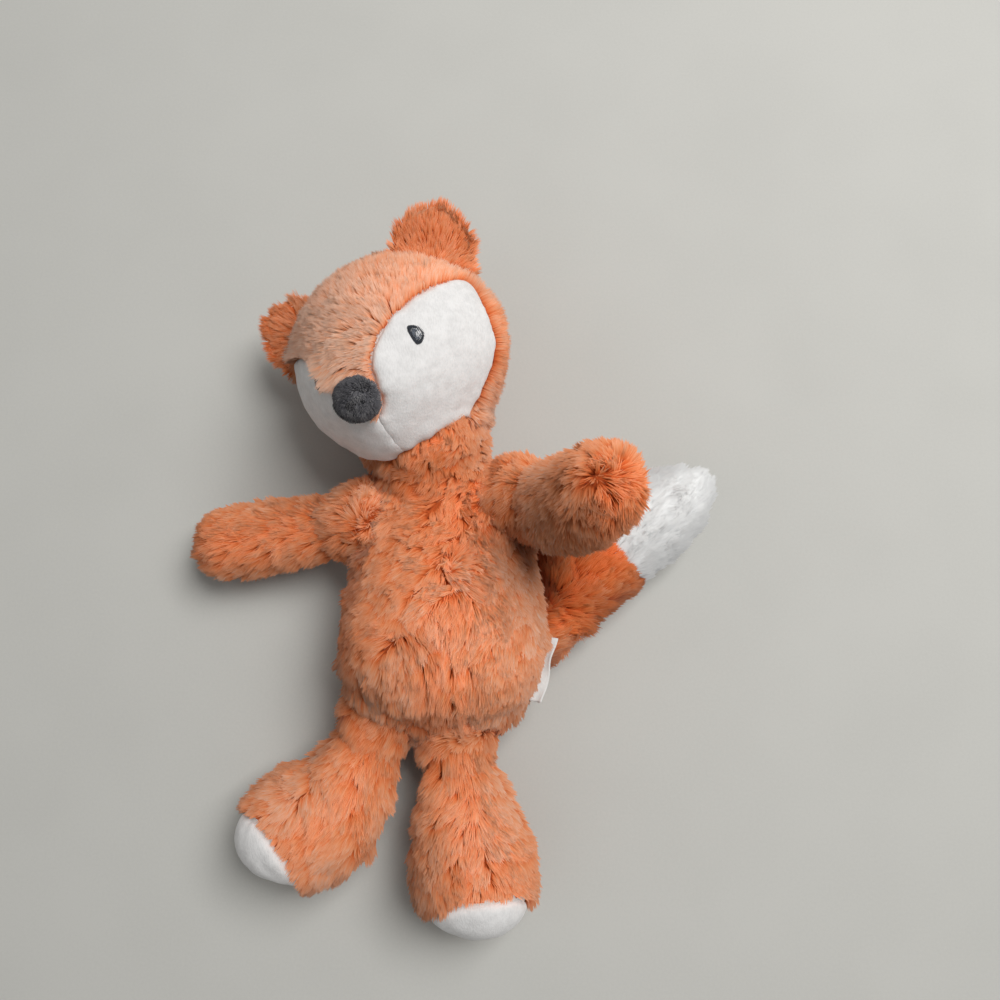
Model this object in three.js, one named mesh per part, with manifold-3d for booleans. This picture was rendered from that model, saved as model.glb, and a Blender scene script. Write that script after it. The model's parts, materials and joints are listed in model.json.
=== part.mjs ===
// A plush fox that lies on its back: fur panels sewn round soft filling, with a
// white face, white soles and a white tail tip. Millimetres, +Z up from the
// table, +Y towards the head, +X towards the fox's left side. The origin is on
// the table, under the middle of the back. Each limb, the head, the ears and the
// tail turn in rounded seats where they are sewn on.
import * as THREE from 'three';
import { mergeVertices } from 'three/addons/utils/BufferGeometryUtils.js';
import Module from 'manifold-3d';

const wasm = await Module();
wasm.setup();

// Cloth and clearances.
const panelWall = 4.5; // a fur panel, backing and pile together
const velourSink = 2.3; // how much lower than the fur the short white pile lies
const seamGap = 0.3; // between two panels
const fillGap = 0.8; // between a panel and the filling
const seatGap = 0.25; // between a turning root and its seat
const tubeGap = 0.35; // between a limb's tube and the torso that it swings past
const neckClearance = 1.5; // between the torso and the turning head
const neckWallShare = 0.25; // how thick the wall is at that cut, share of a panel
const tableFlat = 0.5; // how deep the table presses a form flat
const overrun = 60; // how far a cutting solid reaches past what it cuts

// Torso: a pear, widest at the belly, that narrows to the neck.
const torso = {
  seatReach: 71,
  neckReach: 61,
  width: 86,
  depth: 66,
  seatHeight: 29,
  chestHeight: 28.5,
  neckHeight: 36,
  seamHeight: 30, // of the side seam between the front and the back panel
  neckDrift: -6, // the neck leans towards the fox's right
  seatRound: 29,
  neckRound: 16,
  // share of the length from the seat, share of half the width, share of half the depth
  girthShares: [[0, 0.78, 0.74], [0.14, 0.97, 0.95], [0.28, 1, 1], [0.42, 0.97, 0.95], [0.56, 0.86, 0.85],
    [0.7, 0.72, 0.75], [0.83, 0.56, 0.6], [0.92, 0.46, 0.46], [1, 0.38, 0.36]],
};

// Neck: the top of the torso ends in a ball that seats in the head.
const neck = { radius: 24, depthInHead: 15 };

// Head, in its own axes: x to the fox's left, y to the crown, z out of the face.
const head = {
  width: 95,
  height: 91,
  depth: 81,
  muzzleReach: 10.5, // how far the muzzle stands out of the rounded face
  muzzleSpread: 35, // width of the muzzle's rise, in degrees
  muzzleDroop: 11, // how far below straight ahead the muzzle points, in degrees
  muzzleLean: 7, // how far it points to the fox's right, in degrees
  tilt: 21.5, // towards the fox's right shoulder, in degrees
  turn: 17.5, // towards the fox's right, in degrees
  nod: 13.5, // chin down, in degrees
  drift: -18, // of the middle, towards the fox's right
  reach: 82, // of the middle, along the torso from the origin
  lift: 41.3, // of the middle, above the table
  swing: [-12, 25, 65], // stops and a step between them, in degrees
  seamSetback: 7, // side seam of the face, in front of the middle of the head
  chinSlope: 0.42, // how fast the side seam runs forward below the cheek
  browSlope: 0.5, // how fast it runs back above the middle
  jawShare: 0.78, // width at the bottom, share of the width
  blazeDrift: -4.5, // of the blaze and the chin seam, towards the fox's right
};

// Cheek: from the nose up the blaze, across the brow and down the side seam.
// Shares of half the head's width and of half its height.
const cheekShares = [[0.1, -0.32], [0.12, -0.12], [0.17, 0.05], [0.25, 0.19], [0.4, 0.32], [0.6, 0.41],
  [0.82, 0.44], [0.98, 0.42], [1.2, 0.36], [1.3, -0.5], [0.9, -1.2], [0, -1.3], [0, -0.42]];

const nose = { width: 19.5, height: 18, depth: 16, sink: 1 };
const eye = { length: 8, width: 4.6, stand: 0.7, out: 21, rise: 3.5, slant: 78 };

// Ear, in the head's axes: a low rounded triangle on a straight root.
const ear = {
  span: 43,
  rise: 23,
  thick: 8.6,
  rootRadius: 4.3,
  rootSink: 1.2,
  tipRound: 12,
  // ends of each root in shares of half the head's width, height and depth: the
  // table pushes the right ear outwards
  leftShares: [[0.3, 1.01, 0.08], [1.03, 0.47, -0.16]],
  rightShares: [[0.33, 1.04, -0.1], [1.15, 0.18, -0.14]],
  girthShares: [[0, 0.86, 0.66], [0.3, 0.9, 0.7], [0.6, 0.72, 0.66], [0.85, 0.5, 0.55], [1, 0.36, 0.45]],
};

// Arm: a tube that is slim where it is sewn on and swells to the paw.
const arm = {
  length: 82,
  pawWidth: 34,
  pawDepth: 32,
  rootRadius: 16,
  tipRound: 15,
  shoulderReach: 21.5, // along the torso from the origin
  shoulderSkew: 4, // the left shoulder lies this much nearer the head, the right one less near
  shoulderHeight: 32,
  shoulderRoll: 3, // the left shoulder lies this much higher, the right one lower
  shoulderOutShare: 0.7, // share of half the torso's width
  // how each arm lies, as heading and rise in degrees, and its swing: the stops
  // and the steps between them
  right: { middle: [188, -12], tip: [188, -9.5], swing: [0, 30, 60] },
  left: { middle: [-25, 56], tip: [1, 66], swing: [-8, 0, 15, 30] },
  girthShares: [[0, 0.8, 0.8], [0.2, 0.88, 0.86], [0.42, 0.96, 0.93], [0.68, 1, 1], [0.86, 0.98, 0.98],
    [1, 0.86, 0.86]],
};

// Leg: widens like a bell to a round sole.
const leg = {
  length: 87.5,
  footWidth: 55,
  footDepth: 45,
  rootRadius: 15.5,
  soleRound: 15,
  hipReach: 61.5, // along the torso from the origin
  hipSkew: 3.5, // the left hip lies this much nearer the feet, the right one less near
  hipHeight: 25.5,
  swing: [-40, -20, 0], // stops and a step between them, in degrees
  // how each leg lies: the toy is a little twisted, so the hips are not even
  right: { hipShare: -0.53, middle: [243, -4], tip: [230, -2.8] },
  left: { hipShare: 0.16, middle: [275, -4], tip: [276, -2.8] },
  soleSetback: 10.5, // from the end of the sole to its seam
  soleTilt: 22, // how far the sole faces up, in degrees
  girthShares: [[0, 0.54, 0.6], [0.16, 0.55, 0.62], [0.34, 0.68, 0.76], [0.54, 0.94, 0.95], [0.72, 1, 1],
    [0.88, 0.93, 0.96], [1, 0.8, 0.84]],
};

// Tail: a full brush that lies on the table beside the torso.
const tail = {
  length: 110,
  width: 42,
  depth: 35,
  rootRadius: 12.5,
  tipRound: 20,
  rootReach: 33, // along the torso from the origin, towards the seat
  rootHeight: 16.5,
  rootOutShare: 0.78, // share of half the torso's width
  tipShare: 0.48, // where the white tip begins, share of the length
  swing: [-35, -15, 0, 3], // stops and steps between them, in degrees
  middle: [44.5, 0.5],
  tip: [40.5, -0.5],
  girthShares: [[0, 0.52, 0.64], [0.14, 0.6, 0.7], [0.34, 0.96, 0.97], [0.56, 1, 1], [0.76, 0.93, 0.92],
    [0.9, 0.7, 0.7], [1, 0.5, 0.5]],
};

// Care label: a bare satin ribbon caught in the torso's left side seam.
const label = { length: 27, stand: 2, thick: 0.8, reach: 43, slant: 7 };

// Fineness of the meshes: sides and rings of the outer skins, the inner skins
// and the filling.
const torsoSkin = { sides: 18, rings: 13 };
const skin = { sides: 14, rings: 11 };
const inner = { sides: 9, rings: 7 };
const ballMesh = { sides: 16, rings: 6 };
const barMesh = { sides: 12, rings: 3 };
const headSkin = { sides: 22, rings: 14 };

const finishes = {
  fur: { color: 0xd98a62, roughness: 0.95 },
  furWhite: { color: 0xeeece8, roughness: 0.95 },
  velour: { color: 0xeceae6, roughness: 0.9 },
  nosePlush: { color: 0x57555a, roughness: 0.9 },
  thread: { color: 0x2c2e33, roughness: 0.6 },
  satin: { color: 0xf2f1ee, roughness: 0.35 },
  fibre: { color: 0xf4f1ea, roughness: 1 },
};

const group = new THREE.Group();
const degrees = Math.PI / 180;

// A closed geometry as a solid that can be joined and cut.
function solid(geometry) {
  const bare = geometry.index ? geometry : geometry.clone();
  bare.deleteAttribute('normal');
  bare.deleteAttribute('uv');
  const merged = mergeVertices(bare);
  return new wasm.Manifold(new wasm.Mesh({
    numProp: 3,
    vertProperties: new Float32Array(merged.attributes.position.array),
    triVerts: new Uint32Array(merged.index.array),
  }));
}

// Adds a finished solid to the group under its own name.
function addPiece(name, body, finish) {
  const { vertProperties, triVerts } = body.getMesh();
  const geometry = new THREE.BufferGeometry();
  geometry.setAttribute('position', new THREE.BufferAttribute(vertProperties, 3));
  geometry.setIndex(new THREE.BufferAttribute(triVerts, 1));
  geometry.computeVertexNormals();
  const mesh = new THREE.Mesh(geometry, new THREE.MeshStandardMaterial(finish));
  mesh.name = name;
  group.add(mesh);
}

// Reads a table of shares at one place, with a smooth curve through its rows.
function readShares(rows, share, column) {
  const next = Math.max(1, rows.findIndex((row) => row[0] >= share));
  const row = (index) => rows[THREE.MathUtils.clamp(index, 0, rows.length - 1)];
  const [from, to] = [row(next - 1), row(next)];
  const t = THREE.MathUtils.clamp((share - from[0]) / (to[0] - from[0]), 0, 1);
  const slope = (a, b) => (b[0] === a[0] ? 0 : (b[column] - a[column]) / (b[0] - a[0]));
  const reach = to[0] - from[0];
  const startSlope = slope(row(next - 2), to) * reach;
  const endSlope = slope(from, row(next + 1)) * reach;
  const [t2, t3] = [t * t, t * t * t];
  return (2 * t3 - 3 * t2 + 1) * from[column] + (t3 - 2 * t2 + t) * startSlope
    + (3 * t2 - 2 * t3) * to[column] + (t3 - t2) * endSlope;
}

// How far a rounded end has opened at a distance from its tip, from 0 to 1.
function roundedEnd(distance, round) {
  const t = THREE.MathUtils.clamp(1 - distance / round, 0, 1);
  return Math.sqrt(1 - t * t);
}

// A stuffed form along a curved spine: oval sections of half width `across` and
// half depth `deep` at full girth, rounded off at both ends, and shrunk by inset.
function stuffedForm(form, inset, mesh) {
  const curve = new THREE.CatmullRomCurve3(form.spine);
  const length = curve.getLength();
  const geometry = new THREE.SphereGeometry(1, mesh.sides, mesh.rings);
  const place = geometry.attributes.position;
  const unit = new THREE.Vector3();
  for (let index = 0; index < place.count; index += 1) {
    unit.fromBufferAttribute(place, index);
    const along = inset + (length - 2 * inset) * (1 - unit.y) / 2;
    const share = THREE.MathUtils.clamp(along / length, 0, 1);
    const point = curve.getPointAt(share);
    const forward = curve.getTangentAt(share);
    const side = new THREE.Vector3().crossVectors(form.up, forward).normalize();
    const up = new THREE.Vector3().crossVectors(forward, side);
    const open = roundedEnd(along - inset, form.startRound)
      * roundedEnd(length - inset - along, form.endRound);
    const turn = Math.atan2(unit.z, unit.x);
    const belt = Math.hypot(unit.x, unit.z) > 1e-6 ? open : 0;
    const across = (form.across * readShares(form.girthShares, share, 1) - inset) * belt;
    const deep = (form.deep * readShares(form.girthShares, share, 2) - inset) * belt;
    point.addScaledVector(side, across * Math.cos(turn)).addScaledVector(up, deep * Math.sin(turn));
    place.setXYZ(index, point.x, point.y, point.z);
  }
  return solid(geometry);
}

// A ball whose poles lie on the axis that it turns about.
function ball(centre, radius, axis) {
  const geometry = new THREE.SphereGeometry(radius, ballMesh.sides, ballMesh.rings);
  geometry.applyQuaternion(new THREE.Quaternion().setFromUnitVectors(new THREE.Vector3(0, 1, 0), axis));
  geometry.translate(centre.x, centre.y, centre.z);
  return solid(geometry);
}

// The seat that a ball turns in: its flats stay clear of the ball's corners.
function seat(centre, radius, axis) {
  const flats = Math.cos(Math.PI / ballMesh.sides);
  return ball(centre, (radius + seatGap) / flats, axis);
}

// Everything on the far side of a plane from its point, along its normal.
function beyond(point, normal) {
  const size = 4 * (torso.width + overrun);
  const geometry = new THREE.BoxGeometry(size, size, size);
  geometry.translate(0, 0, size / 2);
  geometry.applyQuaternion(new THREE.Quaternion().setFromUnitVectors(new THREE.Vector3(0, 0, 1), normal));
  geometry.translate(point.x, point.y, point.z);
  return solid(geometry);
}

// Two halves of a shell that meet at a seam through a plane.
function splitAtSeam(shell, point, normal) {
  const step = normal.clone().multiplyScalar(seamGap / 2);
  const front = shell.intersect(beyond(point.clone().add(step), normal));
  const back = shell.intersect(beyond(point.clone().sub(step), normal.clone().negate()));
  return [front, back];
}

const xAxis = new THREE.Vector3(1, 0, 0);
const yAxis = new THREE.Vector3(0, 1, 0);
const zAxis = new THREE.Vector3(0, 0, 1);
const aboveTable = beyond(new THREE.Vector3(0, 0, 0), zAxis);

// Where the head sits, and the neck's pivot inside it.
const headTurn = new THREE.Quaternion().setFromAxisAngle(zAxis, head.tilt * degrees)
  .multiply(new THREE.Quaternion().setFromAxisAngle(yAxis, -head.turn * degrees))
  .multiply(new THREE.Quaternion().setFromAxisAngle(xAxis, head.nod * degrees));
const headCentre = new THREE.Vector3(head.drift, head.reach, head.lift);
const headPlace = new THREE.Matrix4().compose(headCentre, headTurn, new THREE.Vector3(1, 1, 1));
const neckBase = new THREE.Vector3(torso.neckDrift / 2, torso.neckReach - neck.radius, torso.neckHeight);
const neckAxis = headCentre.clone().sub(neckBase).normalize();
const neckPivot = headCentre.clone().addScaledVector(neckAxis, neck.depthInHead - head.height / 2);

// Turns a form made in the head's own axes into its place.
function onHead(geometry) {
  geometry.applyMatrix4(headPlace);
  return solid(geometry);
}

// Where the muzzle points, in the head's axes.
const muzzleWay = new THREE.Vector3(-Math.tan(head.muzzleLean * degrees),
  -Math.tan(head.muzzleDroop * degrees), 1).normalize();

// Distance from the middle of the head to its skin in one direction.
function headReach(direction) {
  const { x, y, z } = direction;
  const jaw = 1 - (1 - head.jawShare) * Math.min(y, 0) ** 2;
  const round = 1 / Math.hypot(2 * x / (head.width * jaw), 2 * y / head.height, 2 * z / head.depth);
  const off = direction.angleTo(muzzleWay) / (head.muzzleSpread * degrees);
  return round + head.muzzleReach * Math.exp(-off * off);
}

function headForm(inset, mesh) {
  const geometry = new THREE.SphereGeometry(1, mesh.sides, mesh.rings);
  const place = geometry.attributes.position;
  const point = new THREE.Vector3();
  for (let index = 0; index < place.count; index += 1) {
    point.fromBufferAttribute(place, index).normalize();
    point.multiplyScalar(headReach(point) - inset);
    place.setXYZ(index, point.x, point.y, point.z);
  }
  return onHead(geometry);
}

// An outline in front view of the head, drawn out of the face.
function headPrism(points, depth) {
  const outline = new THREE.Shape(points.map(([x, y]) => new THREE.Vector2(x, y)));
  return onHead(new THREE.ExtrudeGeometry(outline, { depth, bevelEnabled: false }));
}

// How much of the torso's girth is left at a distance along it from the origin.
function torsoShare(reach, column) {
  const share = (reach + torso.seatReach) / (torso.seatReach + torso.neckReach);
  return readShares(torso.girthShares, share, column);
}

// Height of the torso's middle where the table presses its back flat.
function restingHeight(reach) {
  const lowest = Math.cos(Math.PI / torsoSkin.sides);
  return torsoShare(reach, 2) * lowest * torso.depth / 2 - tableFlat;
}

// Torso
const torsoForm = {
  spine: [
    new THREE.Vector3(0, -torso.seatReach, torso.seatHeight),
    new THREE.Vector3(0, -torso.seatReach / 2, restingHeight(-torso.seatReach / 2)),
    new THREE.Vector3(0, 0, restingHeight(0)),
    new THREE.Vector3(torso.neckDrift / 2, torso.neckReach / 2, torso.chestHeight),
    new THREE.Vector3(torso.neckDrift, torso.neckReach, torso.neckHeight),
  ],
  up: zAxis,
  across: torso.width / 2,
  deep: torso.depth / 2,
  startRound: torso.seatRound,
  endRound: torso.neckRound,
  girthShares: torso.girthShares,
};

// The same piece turned about a joint's axis, by an angle in degrees.
function turned(body, joint, angle) {
  const place = new THREE.Matrix4().makeTranslation(joint.pivot)
    .multiply(new THREE.Matrix4().makeRotationAxis(joint.axis, angle * degrees))
    .multiply(new THREE.Matrix4().makeTranslation(joint.pivot.clone().negate()));
  return body.transform(place.elements);
}

// The torso is cut clear of the head wherever that turns, and keeps its ball. Its
// hollow stops a little short of that cut, so that the wall closes there.
const neckJoint = { pivot: neckPivot, axis: neckAxis };

function torsoBody(inset, mesh) {
  const headRoom = headForm(-neckClearance - inset * neckWallShare, skin);
  const clear = (rest, angle) => rest.subtract(turned(headRoom, neckJoint, angle));
  return head.swing.reduce(clear, stuffedForm(torsoForm, inset, mesh))
    .add(ball(neckPivot, neck.radius - inset, neckAxis));
}

const torsoRoom = torsoBody(-tubeGap, torsoSkin);

// A limb: its form, the ball at its root and the axis that it swings about.
function limbForm(sizes, pivot, bend, tip, up) {
  return {
    spine: [pivot, bend, tip],
    up,
    across: sizes.width / 2,
    deep: sizes.depth / 2,
    startRound: sizes.rootRadius / 2,
    endRound: sizes.tipRound,
    girthShares: sizes.girthShares,
  };
}

// A limb is cut clear of the torso wherever it swings, and keeps its ball.
function limbBody(limb, inset, mesh) {
  const clear = (rest, angle) => rest.subtract(turned(torsoRoom, limb, -angle));
  return limb.swing.reduce(clear, stuffedForm(limb.form, inset, mesh))
    .add(ball(limb.pivot, limb.rootRadius - inset, limb.axis));
}

function limbShell(limb, wall) {
  return limbBody(limb, 0, skin).subtract(limbBody(limb, wall, inner)).intersect(aboveTable);
}

function limbFilling(limb, wall) {
  return limbBody(limb, wall + fillGap, inner);
}

// Arms
const shoulderOut = arm.shoulderOutShare * torso.width / 2;

// A point at a distance from a pivot, along a heading in the table's plane and
// a rise above it, both in degrees.
function reachFrom(pivot, distance, [heading, rise]) {
  return new THREE.Vector3(Math.cos(heading * degrees) * Math.cos(rise * degrees),
    Math.sin(heading * degrees) * Math.cos(rise * degrees), Math.sin(rise * degrees))
    .multiplyScalar(distance).add(pivot);
}

function makeArm(side, pose, up) {
  const pivot = new THREE.Vector3(side * shoulderOut, arm.shoulderReach + side * arm.shoulderSkew,
    arm.shoulderHeight + side * arm.shoulderRoll);
  const sizes = { width: arm.pawWidth, depth: arm.pawDepth, ...arm };
  const bend = reachFrom(pivot, arm.length / 2, pose.middle);
  const tip = reachFrom(pivot, arm.length, pose.tip);
  const form = limbForm(sizes, pivot, bend, tip, up);
  return { pivot, rootRadius: arm.rootRadius, axis: yAxis, swing: pose.swing, form };
}

const armRight = makeArm(-1, arm.right, zAxis);
const armLeft = makeArm(1, arm.left, new THREE.Vector3(-1, 0, 1).normalize());

// Legs
function makeLeg(side, pose) {
  const pivot = new THREE.Vector3(pose.hipShare * torso.width / 2, -leg.hipReach - side * leg.hipSkew,
    leg.hipHeight);
  const sizes = { width: leg.footWidth, depth: leg.footDepth, tipRound: leg.soleRound, ...leg };
  const bend = reachFrom(pivot, leg.length / 2, pose.middle);
  const tip = reachFrom(pivot, leg.length, pose.tip);
  const ahead = tip.clone().sub(bend).setZ(0).normalize();
  const soleFacing = ahead.clone().multiplyScalar(Math.cos(leg.soleTilt * degrees))
    .addScaledVector(zAxis, Math.sin(leg.soleTilt * degrees));
  const form = limbForm(sizes, pivot, bend, tip, zAxis);
  return { pivot, rootRadius: leg.rootRadius, axis: xAxis, swing: leg.swing, form, tip, ahead, soleFacing };
}

const legRight = makeLeg(-1, leg.right);
const legLeft = makeLeg(1, leg.left);

// Tail
const tailPivot = new THREE.Vector3(tail.rootOutShare * torso.width / 2, -tail.rootReach, tail.rootHeight);
const tailLimb = {
  pivot: tailPivot,
  rootRadius: tail.rootRadius,
  axis: zAxis,
  swing: tail.swing,
  form: limbForm(tail, tailPivot, reachFrom(tailPivot, tail.length / 2, tail.middle),
    reachFrom(tailPivot, tail.length, tail.tip), zAxis),
};

// Torso panels, filling and label, cut where the limbs are sewn on.
const limbs = [armRight, armLeft, legRight, legLeft, tailLimb];
const seats = limbs.map((limb) => seat(limb.pivot, limb.rootRadius, limb.axis));
const cutSeats = (body) => seats.reduce((rest, tool) => rest.subtract(tool), body);
const torsoSkins = torsoBody(0, torsoSkin).subtract(torsoBody(panelWall, inner));
const torsoShell = cutSeats(torsoSkins).intersect(aboveTable);
const [torsoFront, torsoBack] = splitAtSeam(torsoShell, new THREE.Vector3(0, 0, torso.seamHeight), zAxis);
addPiece('torso_front_panel', torsoFront, finishes.fur);
addPiece('torso_back_panel', torsoBack, finishes.fur);
addPiece('torso_filling', cutSeats(torsoBody(panelWall + fillGap, inner)), finishes.fibre);

// Care label, caught in the left side seam.
const labelGeometry = new THREE.BoxGeometry(label.stand + panelWall, label.length, label.thick);
labelGeometry.translate((label.stand - panelWall) / 2, 0, 0);
labelGeometry.rotateZ(-label.slant * degrees);
labelGeometry.translate(torsoShare(-label.reach, 1) * torso.width / 2, -label.reach, torso.seamHeight);
addPiece('care_label', solid(labelGeometry).subtract(torsoBody(-seamGap, torsoSkin)), finishes.satin);

// Limb panels, filling and soles.
function addArm(name, limb) {
  const shell = limbShell(limb, panelWall);
  const chord = limb.form.spine[2].clone().sub(limb.pivot).normalize();
  const across = new THREE.Vector3().crossVectors(chord, limb.form.up);
  const facing = new THREE.Vector3().crossVectors(across, chord).normalize();
  const [front, back] = splitAtSeam(shell, limb.pivot, facing);
  addPiece(`${name}_front_panel`, front, finishes.fur);
  addPiece(`${name}_back_panel`, back, finishes.fur);
  addPiece(`${name}_filling`, limbFilling(limb, panelWall), finishes.fibre);
}
addArm('arm_right', armRight);
addArm('arm_left', armLeft);

function addLeg(name, limb) {
  const soleSeam = limb.tip.clone().addScaledVector(limb.ahead, -leg.soleSetback);
  const [thickSole, tube] = splitAtSeam(limbShell(limb, panelWall), soleSeam, limb.soleFacing);
  const sole = thickSole.intersect(limbBody(limb, velourSink, skin));
  const [front, back] = splitAtSeam(tube, limb.pivot, zAxis);
  addPiece(`${name}_front_panel`, front, finishes.fur);
  addPiece(`${name}_back_panel`, back, finishes.fur);
  addPiece(`${name}_sole`, sole, finishes.velour);
  addPiece(`${name}_filling`, limbFilling(limb, panelWall), finishes.fibre);
}
addLeg('leg_right', legRight);
addLeg('leg_left', legLeft);

// Tail covers
const tailCurve = new THREE.CatmullRomCurve3(tailLimb.form.spine);
const [tailTip, tailCover] = splitAtSeam(limbShell(tailLimb, panelWall), tailCurve.getPointAt(tail.tipShare),
  tailCurve.getTangentAt(tail.tipShare));
addPiece('tail_cover', tailCover, finishes.fur);
addPiece('tail_tip_cover', tailTip, finishes.furWhite);
addPiece('tail_filling', limbFilling(tailLimb, panelWall), finishes.fibre);

// Head panels: the skin is cut at the side seam of the face, then the cheeks are
// cut out of its front and the blaze is what stays between them.
const neckSeat = seat(neckPivot, neck.radius, neckAxis);

// The root of an ear in the head's axes: its ends, its rise and its facing.
function earFrame(side, [innerEnd, outerEnd]) {
  const half = new THREE.Vector3(side * head.width / 2, head.height / 2, head.depth / 2);
  const [from, to] = [innerEnd, outerEnd].map((shares) => new THREE.Vector3(...shares).multiply(half));
  const along = to.clone().sub(from).normalize();
  const middle = from.clone().add(to).multiplyScalar(0.5);
  const rise = middle.clone().addScaledVector(along, -middle.dot(along)).normalize();
  const facing = new THREE.Vector3().crossVectors(along, rise).multiplyScalar(side).normalize();
  const root = middle.clone().normalize();
  root.multiplyScalar(headReach(root) - ear.rootSink);
  return { along, rise, facing, root };
}

// A rounded bar along an ear's root.
function earBar(frame, radius) {
  const reach = ear.span * ear.girthShares[0][1] - 2 * ear.rootRadius;
  const geometry = new THREE.CapsuleGeometry(radius, reach, barMesh.rings, barMesh.sides);
  geometry.applyQuaternion(new THREE.Quaternion().setFromUnitVectors(yAxis, frame.along));
  geometry.translate(frame.root.x, frame.root.y, frame.root.z);
  return onHead(geometry);
}

const frames = { left: earFrame(1, ear.leftShares), right: earFrame(-1, ear.rightShares) };
const earFlats = Math.cos(Math.PI / barMesh.sides) * Math.cos(Math.PI / (4 * barMesh.rings));
const headTools = [neckSeat, earBar(frames.left, (ear.rootRadius + seatGap) / earFlats),
  earBar(frames.right, (ear.rootRadius + seatGap) / earFlats)];
const cutHead = (body) => headTools.reduce((rest, tool) => rest.subtract(tool), body);

const headShell = cutHead(headForm(0, headSkin).subtract(headForm(panelWall, inner))).intersect(aboveTable);
const low = -head.height / 2 - overrun;
const high = head.height / 2 + overrun;
const far = head.depth + overrun;
const cheekBreak = -head.height / 8;

// The face in side view, in front of the side seam shifted back by `shift`.
function facePrism(shift) {
  const start = head.seamSetback - shift;
  const chin = start - (low - cheekBreak) * head.chinSlope;
  const brow = start - high * head.browSlope;
  const outline = [[high, brow], [0, start], [cheekBreak, start], [low, chin], [low, far], [high, far]];
  const shape = new THREE.Shape(outline.map(([y, z]) => new THREE.Vector2(y, z)));
  const geometry = new THREE.ExtrudeGeometry(shape, { depth: head.width + overrun, bevelEnabled: false });
  geometry.translate(0, 0, -(head.width + overrun) / 2);
  geometry.applyMatrix4(new THREE.Matrix4().set(0, 0, 1, 0, 1, 0, 0, 0, 0, 1, 0, 0, 0, 0, 0, 1));
  return onHead(geometry);
}

// One cheek in front view, its edge moved out by `grow`, from the mid line on.
function cheekPrism(side, grow) {
  const points = cheekShares.map(([x, y]) => [x * head.width / 2, y * head.height / 2]);
  const shifted = points.map(([x, y]) => (x === 0 ? [seamGap / 2 - grow, y + grow] : [x - grow, y + grow]));
  const drift = (x) => head.blazeDrift * Math.max(0, 1 - 2 * x / head.width);
  return headPrism(shifted.map(([x, y]) => [side * x + drift(x), y]), far);
}

const face = headShell.intersect(facePrism(0));
const velourFace = face.intersect(headForm(velourSink, headSkin));
addPiece('head_back_panel', headShell.subtract(facePrism(seamGap)), finishes.fur);
addPiece('cheek_left', velourFace.intersect(cheekPrism(1, 0)), finishes.velour);
addPiece('cheek_right', velourFace.intersect(cheekPrism(-1, 0)), finishes.velour);
addPiece('blaze_panel', face.subtract(cheekPrism(1, seamGap)).subtract(cheekPrism(-1, seamGap)),
  finishes.fur);
addPiece('head_filling', cutHead(headForm(panelWall + fillGap, inner)), finishes.fibre);

// Nose, eyes and ears follow the skin of the head.
const noseGeometry = new THREE.SphereGeometry(1, skin.sides, skin.rings);
noseGeometry.scale(nose.width / 2, nose.height / 2, nose.depth / 2);
const nosePlace = muzzleWay.clone().multiplyScalar(headReach(muzzleWay) - nose.sink);
noseGeometry.translate(nosePlace.x, nosePlace.y, nosePlace.z);
addPiece('nose', onHead(noseGeometry).subtract(headForm(-seamGap, headSkin)), finishes.nosePlush);

function addEye(name, side) {
  const outline = new THREE.Shape();
  outline.absellipse(side * eye.out, eye.rise, eye.length / 2, eye.width / 2, 0, 2 * Math.PI, false,
    -side * eye.slant * degrees);
  const settings = { depth: far, bevelEnabled: false, curveSegments: inner.rings };
  const thread = onHead(new THREE.ExtrudeGeometry(outline, settings));
  const base = velourSink - seamGap;
  const cover = headForm(base - eye.stand, headSkin).subtract(headForm(base, headSkin));
  addPiece(name, thread.intersect(cover), finishes.thread);
}
addEye('eye_left', 1);
addEye('eye_right', -1);

function addEar(name, frame) {
  const turn = new THREE.Matrix4().makeBasis(frame.along, frame.rise, frame.facing);
  if (turn.determinant() < 0) turn.makeBasis(frame.along.clone().negate(), frame.rise, frame.facing);
  turn.setPosition(frame.root);
  const form = {
    spine: [0, ear.rise / 2, ear.rise].map((height) => new THREE.Vector3(0, height, 0)),
    up: zAxis,
    across: ear.span / 2,
    deep: ear.thick / 2,
    startRound: ear.rootRadius / 2,
    endRound: ear.tipRound,
    girthShares: ear.girthShares,
  };
  const place = headPlace.clone().multiply(turn);
  const sheet = stuffedForm(form, 0, inner).transform(place.elements);
  const body = sheet.add(earBar(frame, ear.rootRadius));
  const facing = frame.facing.clone().applyQuaternion(headTurn);
  const [front, back] = splitAtSeam(body, frame.root.clone().applyMatrix4(headPlace), facing);
  addPiece(`${name}_front_panel`, front, finishes.fur);
  addPiece(`${name}_back_panel`, back, finishes.fur);
}
addEar('ear_left', frames.left);
addEar('ear_right', frames.right);

// Where the moving pieces turn: the pivot and the axis of each.
const turn = (pivot, axis) => ({ pivot: pivot.toArray(), axis: axis.toArray() });
const earTurn = ({ root, along }) => turn(root.clone().applyMatrix4(headPlace),
  along.clone().applyQuaternion(headTurn));
group.userData.turns = {
  neck_turn: turn(neckPivot, neckAxis),
  arm_right_swing: turn(armRight.pivot, armRight.axis),
  arm_left_swing: turn(armLeft.pivot, armLeft.axis),
  leg_right_swing: turn(legRight.pivot, legRight.axis),
  leg_left_swing: turn(legLeft.pivot, legLeft.axis),
  tail_swing: turn(tailLimb.pivot, tailLimb.axis),
  ear_left_fold: earTurn(frames.left),
  ear_right_fold: earTurn(frames.right),
};

export default group;
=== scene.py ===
"""Looks of a plush fox: padded skins, sewn velour panels and a coat of fur.

Every stuffed part starts from its CAD panels. They are merged into one closed
form, which is set in by the height of the pile, puffed up as cloth round its
filling, and then covered with strands of fur. Sizes ending in _mm are in
millimetres; everything placed in the scene is in metres.
"""

import json
import logging
import math
from collections.abc import Sequence
from dataclasses import dataclass, field, replace
from enum import Enum

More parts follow.
